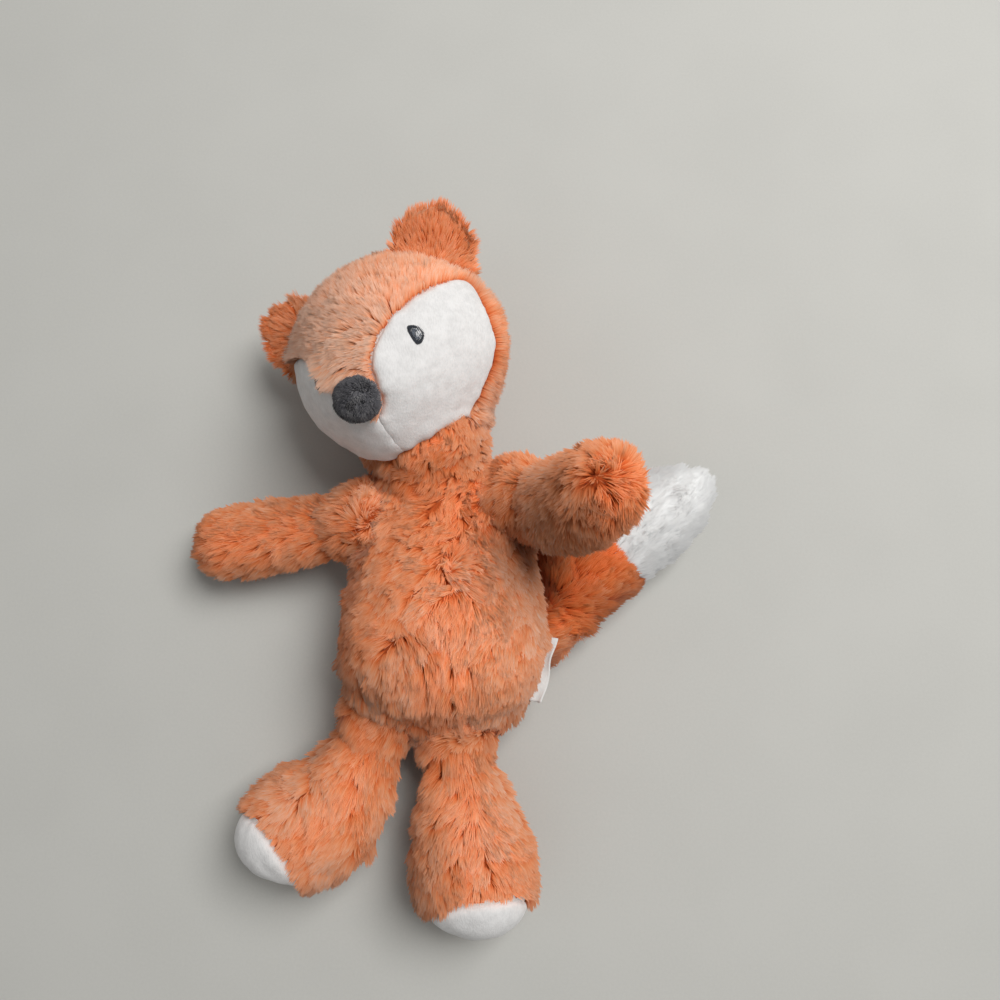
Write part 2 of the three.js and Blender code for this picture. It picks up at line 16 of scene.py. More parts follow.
import bmesh
import bpy
import numpy as np
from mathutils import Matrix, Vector
from mathutils.bvhtree import BVHTree
from mathutils.kdtree import KDTree

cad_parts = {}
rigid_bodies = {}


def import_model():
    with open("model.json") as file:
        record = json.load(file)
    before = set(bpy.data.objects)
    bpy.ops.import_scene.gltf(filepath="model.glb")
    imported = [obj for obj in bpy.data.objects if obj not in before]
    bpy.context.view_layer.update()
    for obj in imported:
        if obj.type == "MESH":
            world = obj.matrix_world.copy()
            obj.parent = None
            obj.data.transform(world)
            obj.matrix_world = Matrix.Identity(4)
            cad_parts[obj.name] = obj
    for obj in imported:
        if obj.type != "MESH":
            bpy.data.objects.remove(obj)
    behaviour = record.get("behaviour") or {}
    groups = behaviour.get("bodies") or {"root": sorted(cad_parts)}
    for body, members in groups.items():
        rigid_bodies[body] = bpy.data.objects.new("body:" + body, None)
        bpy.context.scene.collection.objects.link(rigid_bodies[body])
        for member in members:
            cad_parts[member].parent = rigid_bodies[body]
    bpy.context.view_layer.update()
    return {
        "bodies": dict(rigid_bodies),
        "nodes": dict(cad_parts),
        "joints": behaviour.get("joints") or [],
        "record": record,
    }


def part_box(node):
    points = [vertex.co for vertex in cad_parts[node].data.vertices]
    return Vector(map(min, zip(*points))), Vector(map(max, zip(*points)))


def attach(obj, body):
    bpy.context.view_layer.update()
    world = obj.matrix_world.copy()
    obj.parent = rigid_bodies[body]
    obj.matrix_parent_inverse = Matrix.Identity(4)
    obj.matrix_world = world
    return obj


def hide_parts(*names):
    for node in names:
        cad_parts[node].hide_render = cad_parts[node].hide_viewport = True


LOG = logging.getLogger("plush_fox")
MM = 0.001
FUR_MAP = "OFBake"
MAX_STRANDS = 49_000
EVERYWHERE = (-1.0, 1.0)  # lowest and highest place along the toy, in metres

Spot = tuple[float, float, float]


# Colours and nodes


def linear(code: str) -> tuple[float, float, float, float]:
    """Turn an sRGB hex colour into linear light.

    Args:
        code: Six hex digits, such as "c0ffee".

    Returns:
        Red, green, blue and an alpha of 1.
    """
    channels = [int(code[i : i + 2], 16) / 255 for i in (0, 2, 4)]
    light = [c / 12.92 if c <= 0.04045 else ((c + 0.055) / 1.055) ** 2.4 for c in channels]
    return (*light, 1.0)


def add_node(
    tree: bpy.types.NodeTree,
    kind: str,
    values: dict | None = None,
    links: dict | None = None,
    stops: dict[float, str] | None = None,
    **settings: object,
) -> bpy.types.Node:
    """Add one node with its settings, socket values, links and ramp of colours.

    Args:
        tree: The node tree to add to.
        kind: Blender's identifier of the node type.
        values: Socket name or number to the value set on it.
        links: Socket name or number to the output that feeds it.
        stops: Place on a colour ramp, in order, to the hex colour there.
        **settings: Attributes of the node itself.

    Returns:
        The new node.
    """
    node = tree.nodes.new(kind)
    for key, value in settings.items():
        setattr(node, key, value)
    for key, value in (values or {}).items():
        node.inputs[key].default_value = value
    for key, output in (links or {}).items():
        tree.links.new(output, node.inputs[key])
    if stops:
        elements = node.color_ramp.elements
        while len(elements) < len(stops):
            elements.new(0.5)
        for element, (place, code) in zip(elements, stops.items()):
            element.position = place
            element.color = linear(code)
    return node


# Finishes


@dataclass(frozen=True)
class Finish:
    """What a piece is made of, and how it scatters light."""

    name: str
    roughness: float = field(default=0.85, kw_only=True)
    sheen: float = field(default=0.3, kw_only=True)

    SPECULAR = 0.2

    def material(self) -> bpy.types.Material:
        """Build the material, unless it is there already.

        Returns:
            The material.
        """
        if self.name in bpy.data.materials:
            return bpy.data.materials[self.name]
        material = bpy.data.materials.new(self.name)
        material.use_nodes = True
        tree = material.node_tree
        tree.nodes.clear()
        shader = add_node(
            tree,
            "ShaderNodeBsdfPrincipled",
            values={
                "Roughness": self.roughness,
                "Sheen Weight": self.sheen,
                "Specular IOR Level": self.SPECULAR,
            },
        )
        surface = self._surface(tree, shader)
        add_node(tree, "ShaderNodeOutputMaterial", links={"Surface": surface})
        return material

    def _surface(self, tree: bpy.types.NodeTree, shader: bpy.types.Node) -> bpy.types.NodeSocket:
        """Dye the shader and return the output that goes on the surface."""
        raise NotImplementedError


@dataclass(frozen=True)
class FurFinish(Finish):
    """Dyed polyester pile.

    The fur's own map gives each strand a tone from left to right and runs
    from its root at the bottom to its tip at the top. Each row of colours is
    read along the strand, and the tone picks among the rows.
    """

    shaded: dict[float, str]
    usual: dict[float, str]
    lit: dict[float, str]
    roughness: float = field(default=0.75, kw_only=True)
    sheen: float = field(default=0.12, kw_only=True)
    # Share of the light that each side of a strand lets through
    clearness: float = field(default=0.91, kw_only=True)

    def _surface(self, tree: bpy.types.NodeTree, shader: bpy.types.Node) -> bpy.types.NodeSocket:
        """Colour each strand by its tone, and let light for others pass through it.

        Args:
            tree: The material's nodes.
            shader: Its principled shader.

        Returns:
            The output that goes on the surface.
        """
        strand = add_node(tree, "ShaderNodeUVMap", uv_map=FUR_MAP)
        place = add_node(tree, "ShaderNodeSeparateXYZ", links={0: strand.outputs["UV"]})
        colours = [
            add_node(tree, "ShaderNodeValToRGB", links={0: place.outputs["Y"]}, stops=stops).outputs[0]
            for stops in (self.shaded, self.usual, self.lit)
        ]
        colour = colours[0]
        for other, start in zip(colours[1:], (0.0, 0.5)):
            share = add_node(
                tree,
                "ShaderNodeMapRange",
                values={"From Min": start, "From Max": start + 0.5},
                links={"Value": place.outputs["X"]},
            )
            mix = add_node(
                tree, "ShaderNodeMix", data_type="RGBA", links={0: share.outputs[0], 6: colour, 7: other}
            )
            colour = mix.outputs[2]
        tree.links.new(colour, shader.inputs["Base Color"])
        path = add_node(tree, "ShaderNodeLightPath")
        through = add_node(
            tree,
            "ShaderNodeMath",
            operation="MULTIPLY",
            values={1: self.clearness},
            links={0: path.outputs["Is Shadow Ray"]},
        )
        clear = add_node(tree, "ShaderNodeBsdfTransparent")
        fibre = add_node(
            tree,
            "ShaderNodeMixShader",
            links={0: through.outputs[0], 1: shader.outputs["BSDF"], 2: clear.outputs["BSDF"]},
        )
        return fibre.outputs[0]


@dataclass(frozen=True)
class ClothFinish(Finish):
    """Cloth with a ground colour, a mottled nap and a fine bump."""

    ground: str
    nap: str
    grain_mm: float
    patch_mm: float
    bump_mm: float
    stretch: Spot = (1.0, 1.0, 1.0)

    def _surface(self, tree: bpy.types.NodeTree, shader: bpy.types.Node) -> bpy.types.NodeSocket:
        """Mottle the cloth with patches and with the grain that also lifts it.

        Args:
            tree: The material's nodes.
            shader: Its principled shader.

        Returns:
            The output that goes on the surface.
        """
        where = add_node(tree, "ShaderNodeTexCoord").outputs["Object"]
        grain_place = add_node(
            tree,
            "ShaderNodeMapping",
            values={"Scale": tuple(s / (self.grain_mm * MM) for s in self.stretch)},
            links={"Vector": where},
        )
        grain = add_node(
            tree,
            "ShaderNodeTexNoise",
            values={"Scale": 1.0, "Detail": 3.0, "Roughness": 0.6},
            links={"Vector": grain_place.outputs["Vector"]},
        )
        patch = add_node(
            tree,
            "ShaderNodeTexNoise",
            values={"Scale": 1 / (self.patch_mm * MM), "Detail": 2.0},
            links={"Vector": where},
        )
        blend = add_node(
            tree,
            "ShaderNodeMix",
            data_type="FLOAT",
            values={0: 0.5},
            links={2: grain.outputs["Fac"], 3: patch.outputs["Fac"]},
        )
        colour = add_node(
            tree,
            "ShaderNodeValToRGB",
            links={"Fac": blend.outputs[0]},
            stops={0.36: self.nap, 0.6: self.ground},
        )
        bump = add_node(
            tree,
            "ShaderNodeBump",
            values={"Strength": 1.0, "Distance": self.bump_mm * MM},
            links={"Height": grain.outputs["Fac"]},
        )
        tree.links.new(colour.outputs["Color"], shader.inputs["Base Color"])
        tree.links.new(bump.outputs["Normal"], shader.inputs["Normal"])
        return shader.outputs["BSDF"]


# Deep orange at the roots, paler and frosted towards the tips: the more tone, the paler. The darker roots
# are partly the dye and partly painted shade deep in the pile.
ORANGE_FUR = FurFinish(
    "polyester_fur_orange",
    shaded={0.0: "9c3008", 0.35: "cc5418", 0.7: "e8783a", 1.0: "ee8a50"},
    usual={0.0: "b44414", 0.35: "e27438", 0.7: "f6a06e", 1.0: "fab48e"},
    lit={0.0: "d67442", 0.3: "f09c6c", 0.7: "f9c4a4", 1.0: "fad4be"},
)
# White pile, slightly grey at the roots: painted shade deep in the pile.
WHITE_FUR = FurFinish(
    "polyester_fur_white",
    shaded={0.0: "b4b4b6", 0.4: "d4d4d4", 1.0: "dedddb"},
    usual={0.0: "c8c8c9", 0.4: "e6e6e5", 1.0: "eeeeec"},
    lit={0.0: "d8d8d8", 0.4: "f0f0ef", 1.0: "f6f5f3"},
    sheen=0.05,
)
# Short dark plush with pale fibre ends, which give the nose a worn, mottled look. Darker towards the
# roots: painted shade deep in the pile.
GREY_PLUSH = FurFinish(
    "polyester_plush_grey",
    shaded={0.0: "2a292d", 0.5: "434246", 1.0: "545357"},
    usual={0.0: "3a393d", 0.5: "5c5b5f", 1.0: "77767a"},
    lit={0.0: "4c4b4f", 0.5: "8a888a", 1.0: "c0bcb6"},
    clearness=0.75,
)
# The knitted cloth that carries the pile: a deep glow of colour between the strands.
FUR_BACKING = ClothFinish("knitted_backing_orange", "c85e28", "b04e1e", 0.9, 9.0, 0.15)
WHITE_BACKING = ClothFinish("knitted_backing_white", "dcdad6", "cfcdc9", 0.9, 9.0, 0.15)
GREY_BACKING = ClothFinish("knitted_backing_grey", "2b2a2e", "232226", 0.9, 9.0, 0.1)
# Cut pile so short that it reads as a soft white skin with a faint brushed nap.
WHITE_VELOUR = ClothFinish(
    "cut_velour_white", "f2f0ee", "e3e1df", 0.6, 3.5, 0.22, stretch=(1.0, 0.35, 1.0), roughness=0.9
)
# Crimped fibre, seen only where a form is opened up.
FILLING = ClothFinish("polyester_fibre_filling", "f2efe8", "e4e0d8", 0.6, 6.0, 0.4)
# A smooth ribbon with a fine weave along its length and a soft shine.
SATIN = ClothFinish(
    "woven_satin_ribbon_white",
    "f0efec",
    "e2e0dc",
    0.3,
    8.0,
    0.04,
    (1.0, 0.2, 1.0),
    roughness=0.32,
    sheen=0.1,
)
# Shiny embroidery threads: a near-black edge, a grey middle and a white glint.
DARK_THREAD = ClothFinish("rayon_thread_navy", "2e333d", "1b1e25", 0.25, 1.5, 0.03, roughness=0.42)
GREY_THREAD = ClothFinish("rayon_thread_grey", "7b818b", "565b64", 0.25, 1.5, 0.03, roughness=0.42)
WHITE_THREAD = ClothFinish("rayon_thread_white", "f5f5f5", "dcdcdc", 0.25, 1.5, 0.03, roughness=0.4)
# Flat pale paper below the toy, without a pattern of its own.
FLOOR_PAPER = ClothFinish(
    "matt_paper_floor", "cfcec8", "cbcac4", 1.2, 60.0, 0.0, roughness=0.95, sheen=0.0
)


# Meshes


def deselect() -> None:
    """Leave edit mode and select nothing."""
    if bpy.context.mode != "OBJECT":
        bpy.ops.object.mode_set(mode="OBJECT")
    bpy.ops.object.select_all(action="DESELECT")


def pick(*objects: bpy.types.Object) -> None:
    """Select these objects alone and make the first one active."""
    deselect()
    for one in objects:
        one.select_set(True)
    bpy.context.view_layer.objects.active = objects[0]


def apply_modifier(piece: bpy.types.Object, kind: str, **settings: object) -> None:
    """Add a modifier with its settings and apply it.

    Args:
        piece: The mesh object to change.
        kind: Blender's identifier of the modifier.
        **settings: Attributes of the modifier.
    """
    pick(piece)
    modifier = piece.modifiers.new(kind.lower(), kind)
    for key, value in settings.items():
        setattr(modifier, key, value)
    bpy.ops.object.modifier_apply(modifier=modifier.name)


def place_points(piece: bpy.types.Object, points: np.ndarray) -> None:
    """Write new places for all the vertices of a mesh."""
    piece.data.vertices.foreach_set("co", points.astype(np.float32).ravel())
    piece.data.update()


def read_rows(items: bpy.types.bpy_prop_collection, key: str, kind: type = np.float32) -> np.ndarray:
    """Read a property of three numbers from each item of a mesh.

    Args:
        items: The mesh's vertices, normals or triangles.
        key: Name of the property.
        kind: Type of its numbers.

    Returns:
        One row for each item.
    """
    values = np.empty(len(items) * 3, kind)
    items.foreach_get(key, values)
    return values.reshape(-1, 3)


def read_points(mesh: bpy.types.Mesh) -> np.ndarray:
    """Places of a mesh's vertices."""
    return read_rows(mesh.vertices, "co").astype(float)


def read_normals(mesh: bpy.types.Mesh) -> np.ndarray:
    """Normals of a mesh's vertices."""
    return read_rows(mesh.vertex_normals, "vector").astype(float)


def read_triangles(mesh: bpy.types.Mesh) -> np.ndarray:
    """Vertex numbers of a mesh's triangles."""
    mesh.calc_loop_triangles()
    return read_rows(mesh.loop_triangles, "vertices", np.int32)


def unit(vectors: np.ndarray) -> np.ndarray:
    """Scale each row to a length of one."""
    return vectors / np.maximum(np.linalg.norm(vectors, axis=-1, keepdims=True), 1e-9)


def ease(values: np.ndarray, start: float, end: float) -> np.ndarray:
    """Go smoothly from 0 at start to 1 at end."""
    share = np.clip((values - start) / (end - start), 0, 1)
    return share * share * (3 - 2 * share)


def nearness(points: np.ndarray, spot: Spot, reach_mm: float) -> np.ndarray:
    """How near points are to a spot: 1 there, and fading past the reach."""
    off = np.linalg.norm(points - np.array(spot), axis=1) / (reach_mm * MM)
    return np.exp(-off * off)


def middle_and_axes(piece: bpy.types.Object) -> tuple[np.ndarray, np.ndarray, np.ndarray]:
    """Find the middle and the main directions of a mesh.

    Args:
        piece: A mesh object.

    Returns:
        Its vertices, their middle, and three axes, the longest first.
    """
    points = read_points(piece.data)
    centre = points.mean(axis=0)
    return points, centre, np.linalg.svd(points - centre, full_matrices=False)[2]


def surface_of(piece: bpy.types.Object) -> BVHTree:
    """Search tree of a mesh object's faces."""
    corners = read_triangles(piece.data)
    return BVHTree.FromPolygons(read_points(piece.data).tolist(), corners.tolist())


def reach_of(tree: BVHTree, points: np.ndarray) -> np.ndarray:
    """Distance from each point to the surface in a tree."""
    return np.array([tree.find_nearest(Vector(p))[3] for p in points])


def depth_below(tree: BVHTree, points: np.ndarray) -> np.ndarray:
    """How far each point lies below the surface in a tree, in metres."""
    hits = [(Vector(p), *tree.find_nearest(Vector(p))[:2]) for p in points]
    return np.array([(spot - point).dot(normal) for point, spot, normal in hits])


def new_object(name: str, data: bpy.types.ID) -> bpy.types.Object:
    """Put a new object in the scene.

    Args:
        name: Name of the object.
        data: Its mesh, lamp or camera.

    Returns:
        The object.
    """
    one = bpy.data.objects.new(name, data)
    bpy.context.scene.collection.objects.link(one)
    return one


def twin_of(name: str, piece: bpy.types.Object) -> bpy.types.Object:
    """Copy an object with a mesh of its own and no materials.

    Args:
        name: Name of the copy.
        piece: The object to copy.

    Returns:
        The copy.
    """
    twin = new_object(name, piece.data.copy())
    twin.data.materials.clear()
    return twin


def merged_copy(name: str, nodes: list[bpy.types.Object]) -> bpy.types.Object:
    """Copy CAD nodes into one mesh and weld their loose triangles.

    Args:
        name: Name of the new object.
        nodes: The CAD nodes' objects.

    Returns:
        The new object, which stands at the origin.
    """
    copies = [twin_of(name, node) for node in nodes]
    pick(*copies)
    if len(copies) > 1:
        bpy.ops.object.join()
    bpy.ops.object.mode_set(mode="EDIT")
    bpy.ops.mesh.select_all(action="SELECT")
    bpy.ops.mesh.remove_doubles(threshold=1e-5)
    bpy.ops.object.mode_set(mode="OBJECT")
    return copies[0]


def keep_largest(piece: bpy.types.Object) -> None:
    """Delete every loose part of a mesh but the largest one.

    Args:
        piece: The mesh object.
    """
    shape = bmesh.new()
    shape.from_mesh(piece.data)
    shape.verts.ensure_lookup_table()
    seen: set[int] = set()
    islands: list[list[bmesh.types.BMVert]] = []
    for start in shape.verts:
        if start.index in seen:
            continue
        seen.add(start.index)
        island, queue = [], [start]
        while queue:
            one = queue.pop()
            island.append(one)
            for edge in one.link_edges:
                other = edge.other_vert(one)
                if other.index not in seen:
                    seen.add(other.index)
                    queue.append(other)
        islands.append(island)
    islands.sort(key=len)
    for island in islands[:-1]:
        bmesh.ops.delete(shape, geom=island, context="VERTS")
    shape.to_mesh(piece.data)
    shape.free()


def finish_piece(piece: bpy.types.Object, finish: Finish, body: str) -> None:
    """Give a piece its material and its body, and report it.

    Args:
        piece: The finished mesh object.
        finish: What it is made of.
        body: The CAD body that it rides on.
    """
    piece.data.materials.clear()
    piece.data.materials.append(finish.material())
    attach(piece, body)
    LOG.info("%s: %d faces on %s", piece.name, len(piece.data.polygons), body)


# Noise


class SoftNoise:
    """Smooth seeded noise in space, from -1 to 1."""

    SIZE = 32

    def __init__(self, seed: int) -> None:
        """Fill the lattice from a seed."""
        self.lattice = np.random.default_rng(seed).uniform(-1, 1, (self.SIZE,) * 3)

    def at(self, points: np.ndarray, wave_mm: float) -> np.ndarray:
        """Read the noise.

        Args:
            points: Places in metres, one row each.
            wave_mm: Distance between two bumps.

        Returns:
            One value for each place.
        """
        spot = points / (wave_mm * MM) + 100.0
        cell = np.floor(spot).astype(int)
        part = spot - cell
        part = part * part * (3 - 2 * part)
        total = np.zeros(len(points))
        for corner in range(8):
            step = np.array([corner & 1, corner >> 1 & 1, corner >> 2 & 1])
            index = (cell + step) % self.SIZE
            weight = np.prod(np.where(step, part, 1 - part), axis=1)
            total += weight * self.lattice[index[:, 0], index[:, 1], index[:, 2]]
        return total


# Padded skins


@dataclass(frozen=True)
class Seat:
    """The sewn root of a limb, round which two skins keep close."""

    centre: np.ndarray
    radius_mm: float
    lip_mm: float = 6.0

    def closeness(self, points: np.ndarray) -> np.ndarray:
        """How close each point is: 1 in the seat, 0 past its lip."""
        off = np.linalg.norm(points - self.centre, axis=1)
        return 1 - ease(off, (self.radius_mm + 1.5) * MM, (self.radius_mm + self.lip_mm) * MM)


@dataclass(frozen=True)
class Swell:
    """A place where the filling pushes the skin further out."""

    spot: Spot
    reach_mm: float
    rise_mm: float

    def rise(self, points: np.ndarray) -> np.ndarray:
        """How far it pushes each point, in mm."""
        return self.rise_mm * nearness(points, self.spot, self.reach_mm)


@dataclass
class Pad:
    """A closed stuffed skin, with the share that each panel has of it.

    The skin is the cloth that carries the pile, so it lies below the outer
    surface of the CAD panels by the height of their pile.
    """

    name: str
    body: str
    panels: dict[str, float]  # CAD panel to the height of its pile, in mm
    filling: list[str] = field(default_factory=list)
    seats: list[Seat] = field(default_factory=list)
    swells: tuple[Swell, ...] = ()
    velour: tuple[str, ...] = ()  # panels that are made as pieces of their own
    voxel_mm: float = 3.0
    evening: int = 12
    puff_mm: float = 1.6
    piece: bpy.types.Object = field(init=False)
    surface: BVHTree = field(init=False)

    HULL_MM = (-1.0, 3.0)  # how far evening out is taken to lift or to sink the skin
    SEAT_PRESS = 0.85  # share of the pile's height that a seat presses flat
    SEAM_MM = 2.5  # half the width that the sewing thread holds
    CLOTH_FRAMES = 20
    WHITE_LAP_MM = 1.2  # how far the white backing reaches past its seam
    TWIN_LAP_MM = 1.0  # how far two velour panels overlap at their shared seam
    BURIED_MM = 0.8  # how deep a velour panel starts below the skin
    EDGE_RISE = 0.12  # share of its height that a velour panel keeps at its rim
    TWIN_RISE = 0.94  # the same where it meets its twin
    FOLD_MM = 0.45

    def build(self, nodes: dict[str, bpy.types.Object]) -> None:
        """Make the skin from the CAD nodes.

        Args:
            nodes: Node name to its object, from the frame.
        """
        piece = merged_copy(self.name, [nodes[n] for n in [*self.panels, *self.filling]])
        apply_modifier(piece, "REMESH", mode="VOXEL", voxel_size=self.voxel_mm * MM)
        keep_largest(piece)
        hull = surface_of(piece)
        apply_modifier(piece, "SMOOTH", factor=0.5, iterations=self.evening)
        self.piece = piece
        points, normals = read_points(piece.data), read_normals(piece.data)
        sunk = np.clip(depth_below(hull, points) / MM, *self.HULL_MM)
        reach = np.array([reach_of(surface_of(nodes[panel]), points) for panel in self.panels])
        for panel, values in zip(self.panels, reach):
            attribute = piece.data.attributes.new(f"reach_{panel}", "FLOAT", "POINT")
            attribute.data.foreach_set("value", values.astype(np.float32))
        heights = np.array(list(self.panels.values()))[reach.argmin(0)]
        for seat in self.seats:
            heights = heights * (1 - self.SEAT_PRESS * seat.closeness(points))
        heights = heights - sunk - sum(swell.rise(points) for swell in self.swells)
        place_points(piece, points - normals * heights[:, None] * MM)
        apply_modifier(piece, "SMOOTH", factor=0.5, iterations=4)
        seam = np.zeros(len(points), bool)
        if len(self.panels) > 1:
            nearest, second = np.sort(reach, axis=0)[:2]
            seam = second - nearest < self.SEAM_MM * MM
        for seat in self.seats:
            seam |= seat.closeness(points) > 0.5
        self._puff_up(np.flatnonzero(seam))
        apply_modifier(piece, "SUBSURF", levels=1, render_levels=1)
        piece.data.shade_smooth()
        self.surface = surface_of(piece)

    def _puff_up(self, held: np.ndarray) -> None:
        """Blow the skin up as cloth round its filling.

        Args:
            held: Numbers of the vertices that the sewing thread holds.
        """
        piece = self.piece
        before = read_points(piece.data)
        group = piece.vertex_groups.new(name="held")
        group.add(held.tolist(), 1.0, "REPLACE")
        pick(piece)
        modifier = piece.modifiers.new("cloth", "CLOTH")
        settings = modifier.settings
        settings.quality = 4
        settings.mass = 0.25
        settings.tension_stiffness = settings.compression_stiffness = 12
        settings.bending_stiffness = 0.4
        settings.use_pressure = True
        settings.uniform_pressure_force = 4
        settings.vertex_group_mass = "held"
        settings.effector_weights.gravity = 0
        modifier.point_cache.frame_start, modifier.point_cache.frame_end = 1, self.CLOTH_FRAMES
        for frame in range(1, self.CLOTH_FRAMES + 1):
            bpy.context.scene.frame_set(frame)
        bpy.ops.object.modifier_apply(modifier=modifier.name)
        bpy.context.scene.frame_set(1)
        move = read_points(piece.data) - before
        length = np.linalg.norm(move, axis=1, keepdims=True)
        limit = self.puff_mm * MM
        LOG.info("%s: puffed up by %.2f mm", self.name, float(np.minimum(length, limit).mean()) / MM)
        place_points(piece, before + move * np.minimum(1, limit / np.maximum(length, 1e-9)))
        piece.vertex_groups.clear()

    def reach(self, panel: str) -> np.ndarray:
        """Distance of each vertex from one of the panels, in metres."""
        return self._attribute(self.piece, f"reach_{panel}")

    @staticmethod
    def _attribute(piece: bpy.types.Object, name: str) -> np.ndarray:
        """Read a number that each vertex carries.

        Args:
            piece: A mesh object.
            name: Name of the attribute.

        Returns:
            One number for each vertex.
        """
        values = np.empty(len(piece.data.vertices), np.float32)
        piece.data.attributes[name].data.foreach_get("value", values)
        return values.astype(float)

    def share_of(self, panels: Sequence[str]) -> np.ndarray:
        """Measure how far each vertex lies inside some panels.

        Args:
            panels: Some of the skin's panels.

        Returns:
            Metres for each vertex, below 0 outside them.
        """
        inside = np.min([self.reach(p) for p in panels], axis=0)
        others = [self.reach(p) for p in self.panels if p not in panels]
        return np.min(others, axis=0) - inside if others else np.full(len(inside), 1.0)

    def holds(self, points: np.ndarray, spare_mm: float) -> np.ndarray:
        """Find the points that lie in this skin.

        Args:
            points: Places in metres.
            spare_mm: How far above the skin still counts.

        Returns:
            Whether each point is held.
        """
        low, high = (np.array(c) for c in (self.piece.bound_box[0], self.piece.bound_box[6]))
        near = np.all((points > low - spare_mm * MM) & (points < high + spare_mm * MM), axis=1)
        inside = np.zeros(len(points), bool)
        for index in np.flatnonzero(near):
            point = Vector(points[index])
            spot, normal, _, _ = self.surface.find_nearest(point)
            inside[index] = (point - spot).dot(normal) < spare_mm * MM
        return inside

    def face_white(self, panels: Sequence[str]) -> None:
        """Give the cloth below some panels a white backing.

        Args:
            panels: Some of the skin's panels.
        """
        mesh = self.piece.data
        mesh.materials.append(WHITE_BACKING.material())
        white = self.share_of(panels) > -self.WHITE_LAP_MM * MM
        for face in mesh.polygons:
            if all(white[v] for v in face.vertices):
                face.material_index = 1

    def velour_panel(self, panel: str, roll_mm: float, twin: str | None = None) -> bpy.types.Object:
        """Make a padded panel of cut velour that lies on the skin.

        Args:
            panel: The CAD panel whose outline and thickness it takes.
            roll_mm: How far from its seam it reaches its full thickness.
            twin: A panel of the same velour, to which it is joined by a flat seam.

        Returns:
            The closed panel.
        """
        piece = twin_of(f"{panel}_velour", self.piece)
        inside = self.share_of([panel, twin] if twin else [panel])
        if twin:
            inside = np.minimum(inside, self.reach(twin) - self.reach(panel) + self.TWIN_LAP_MM * MM)
        points = read_points(piece.data)
        for seat in self.seats:
            off = np.linalg.norm(points - seat.centre, axis=1) - (seat.radius_mm + 0.2) * MM
            inside = np.minimum(inside, off)
        self._trim(piece, inside)
        keep_largest(piece)
        values = self._attribute(piece, "inside")
        rise = np.clip(values / (roll_mm * MM), 0, 1)
        rise = self.EDGE_RISE + (1 - self.EDGE_RISE) * np.sqrt(1 - (1 - rise) ** 2)
        if twin:
            names = [n for n in self.panels if n != panel]
            reach = {n: self._attribute(piece, f"reach_{n}") for n in [panel, *names]}
            beside = np.min([reach[n] for n in names if n != twin], axis=0) - reach[twin]
            rise = np.maximum(rise, self.TWIN_RISE * ease(beside, 0, roll_mm * MM))
        place_points(piece, read_points(piece.data) - read_normals(piece.data) * self.BURIED_MM * MM)
        group = piece.vertex_groups.new(name="rise")
        for index, weight in enumerate(rise):
            group.add([index], float(weight), "REPLACE")
        thickness = (self.panels[panel] + self.BURIED_MM) * MM
        apply_modifier(piece, "SOLIDIFY", thickness=thickness, offset=1.0, vertex_group="rise")
        piece.vertex_groups.clear()
        apply_modifier(piece, "SMOOTH", factor=0.5, iterations=3)
        points = read_points(piece.data)
        folds = SoftNoise(11).at(points * (1.0, 0.4, 1.0), 6.0) + 0.4 * SoftNoise(12).at(points, 3.0)
        place_points(piece, points + read_normals(piece.data) * folds[:, None] * self.FOLD_MM * MM)
        piece.data.shade_smooth()
        return piece

    @staticmethod
    def _trim(piece: bpy.types.Object, inside: np.ndarray) -> None:
        """Cut a copy of the skin back to where inside is above 0.

        Args:
            piece: The copy to cut.
            inside: One value for each vertex, kept as an attribute.
        """
        shape = bmesh.new()
        shape.from_mesh(piece.data)
        shape.verts.ensure_lookup_table()
        layer = shape.verts.layers.float.new("inside")
        for vert, value in zip(shape.verts, inside):
            vert[layer] = float(value)
        moves: dict[int, tuple[float, Vector]] = {}
        for edge in shape.edges:
            low, high = sorted(edge.verts, key=lambda v: v[layer])
            if low[layer] < 0 <= high[layer]:
                t = -low[layer] / (high[layer] - low[layer])
                near, share = (low, t) if t < 0.5 else (high, 1 - t)
                spot = low.co.lerp(high.co, t)
                if near.index not in moves or share < moves[near.index][0]:
                    moves[near.index] = (share, spot)
        for index, (_, spot) in moves.items():
            shape.verts[index].co = spot
            shape.verts[index][layer] = 0.0
        outside = [f for f in shape.faces if min(v[layer] for v in f.verts) < 0]
        bmesh.ops.delete(shape, geom=outside, context="FACES")
        for _ in range(12):
            spots = {}
            for vert in shape.verts:
                mates = [e.other_vert(vert).co for e in vert.link_edges if e.is_boundary]
                if len(mates) == 2:
                    spots[vert] = vert.co.lerp((mates[0] + mates[1]) / 2, 0.5)
            for vert, spot in spots.items():
                vert.co = spot
        shape.to_mesh(piece.data)
        shape.free()


# Fur


class Lie(Enum):
    """How strands lie on a surface."""

    ALONG = "along one direction"
    AWAY = "away from a point"
    TOWARDS = "towards a point"


@dataclass(frozen=True)
class Comb:
    """One stroke of the comb: a direction that strands follow round a place."""

    lie: Lie
    where: Spot
    weight: float = 1.0
    swirl_deg: float = 0.0
    spot: Spot | None = None
    reach_mm: float = 0.0

    def stroke(self, points: np.ndarray, normals: np.ndarray) -> np.ndarray:
        """Direction and strength of this stroke at some places.

        Args:
            points: Places on the skin, in metres.
            normals: The skin's normals there.

        Returns:
            One vector for each place, along the skin.
        """
        where = np.array(self.where)
        if self.lie is Lie.ALONG:
            way = np.tile(where, (len(points), 1))
        elif self.lie is Lie.AWAY:
            way = points - where
        else:
            way = where - points
        way = unit(way - normals * np.sum(way * normals, axis=1, keepdims=True))
        if self.swirl_deg:
            angle = math.radians(self.swirl_deg)
            way = way * math.cos(angle) + np.cross(normals, way) * math.sin(angle)
        weight = np.full(len(points), self.weight)
        if self.spot is not None:
            weight = weight * nearness(points, self.spot, self.reach_mm)
        return way * weight[:, None]


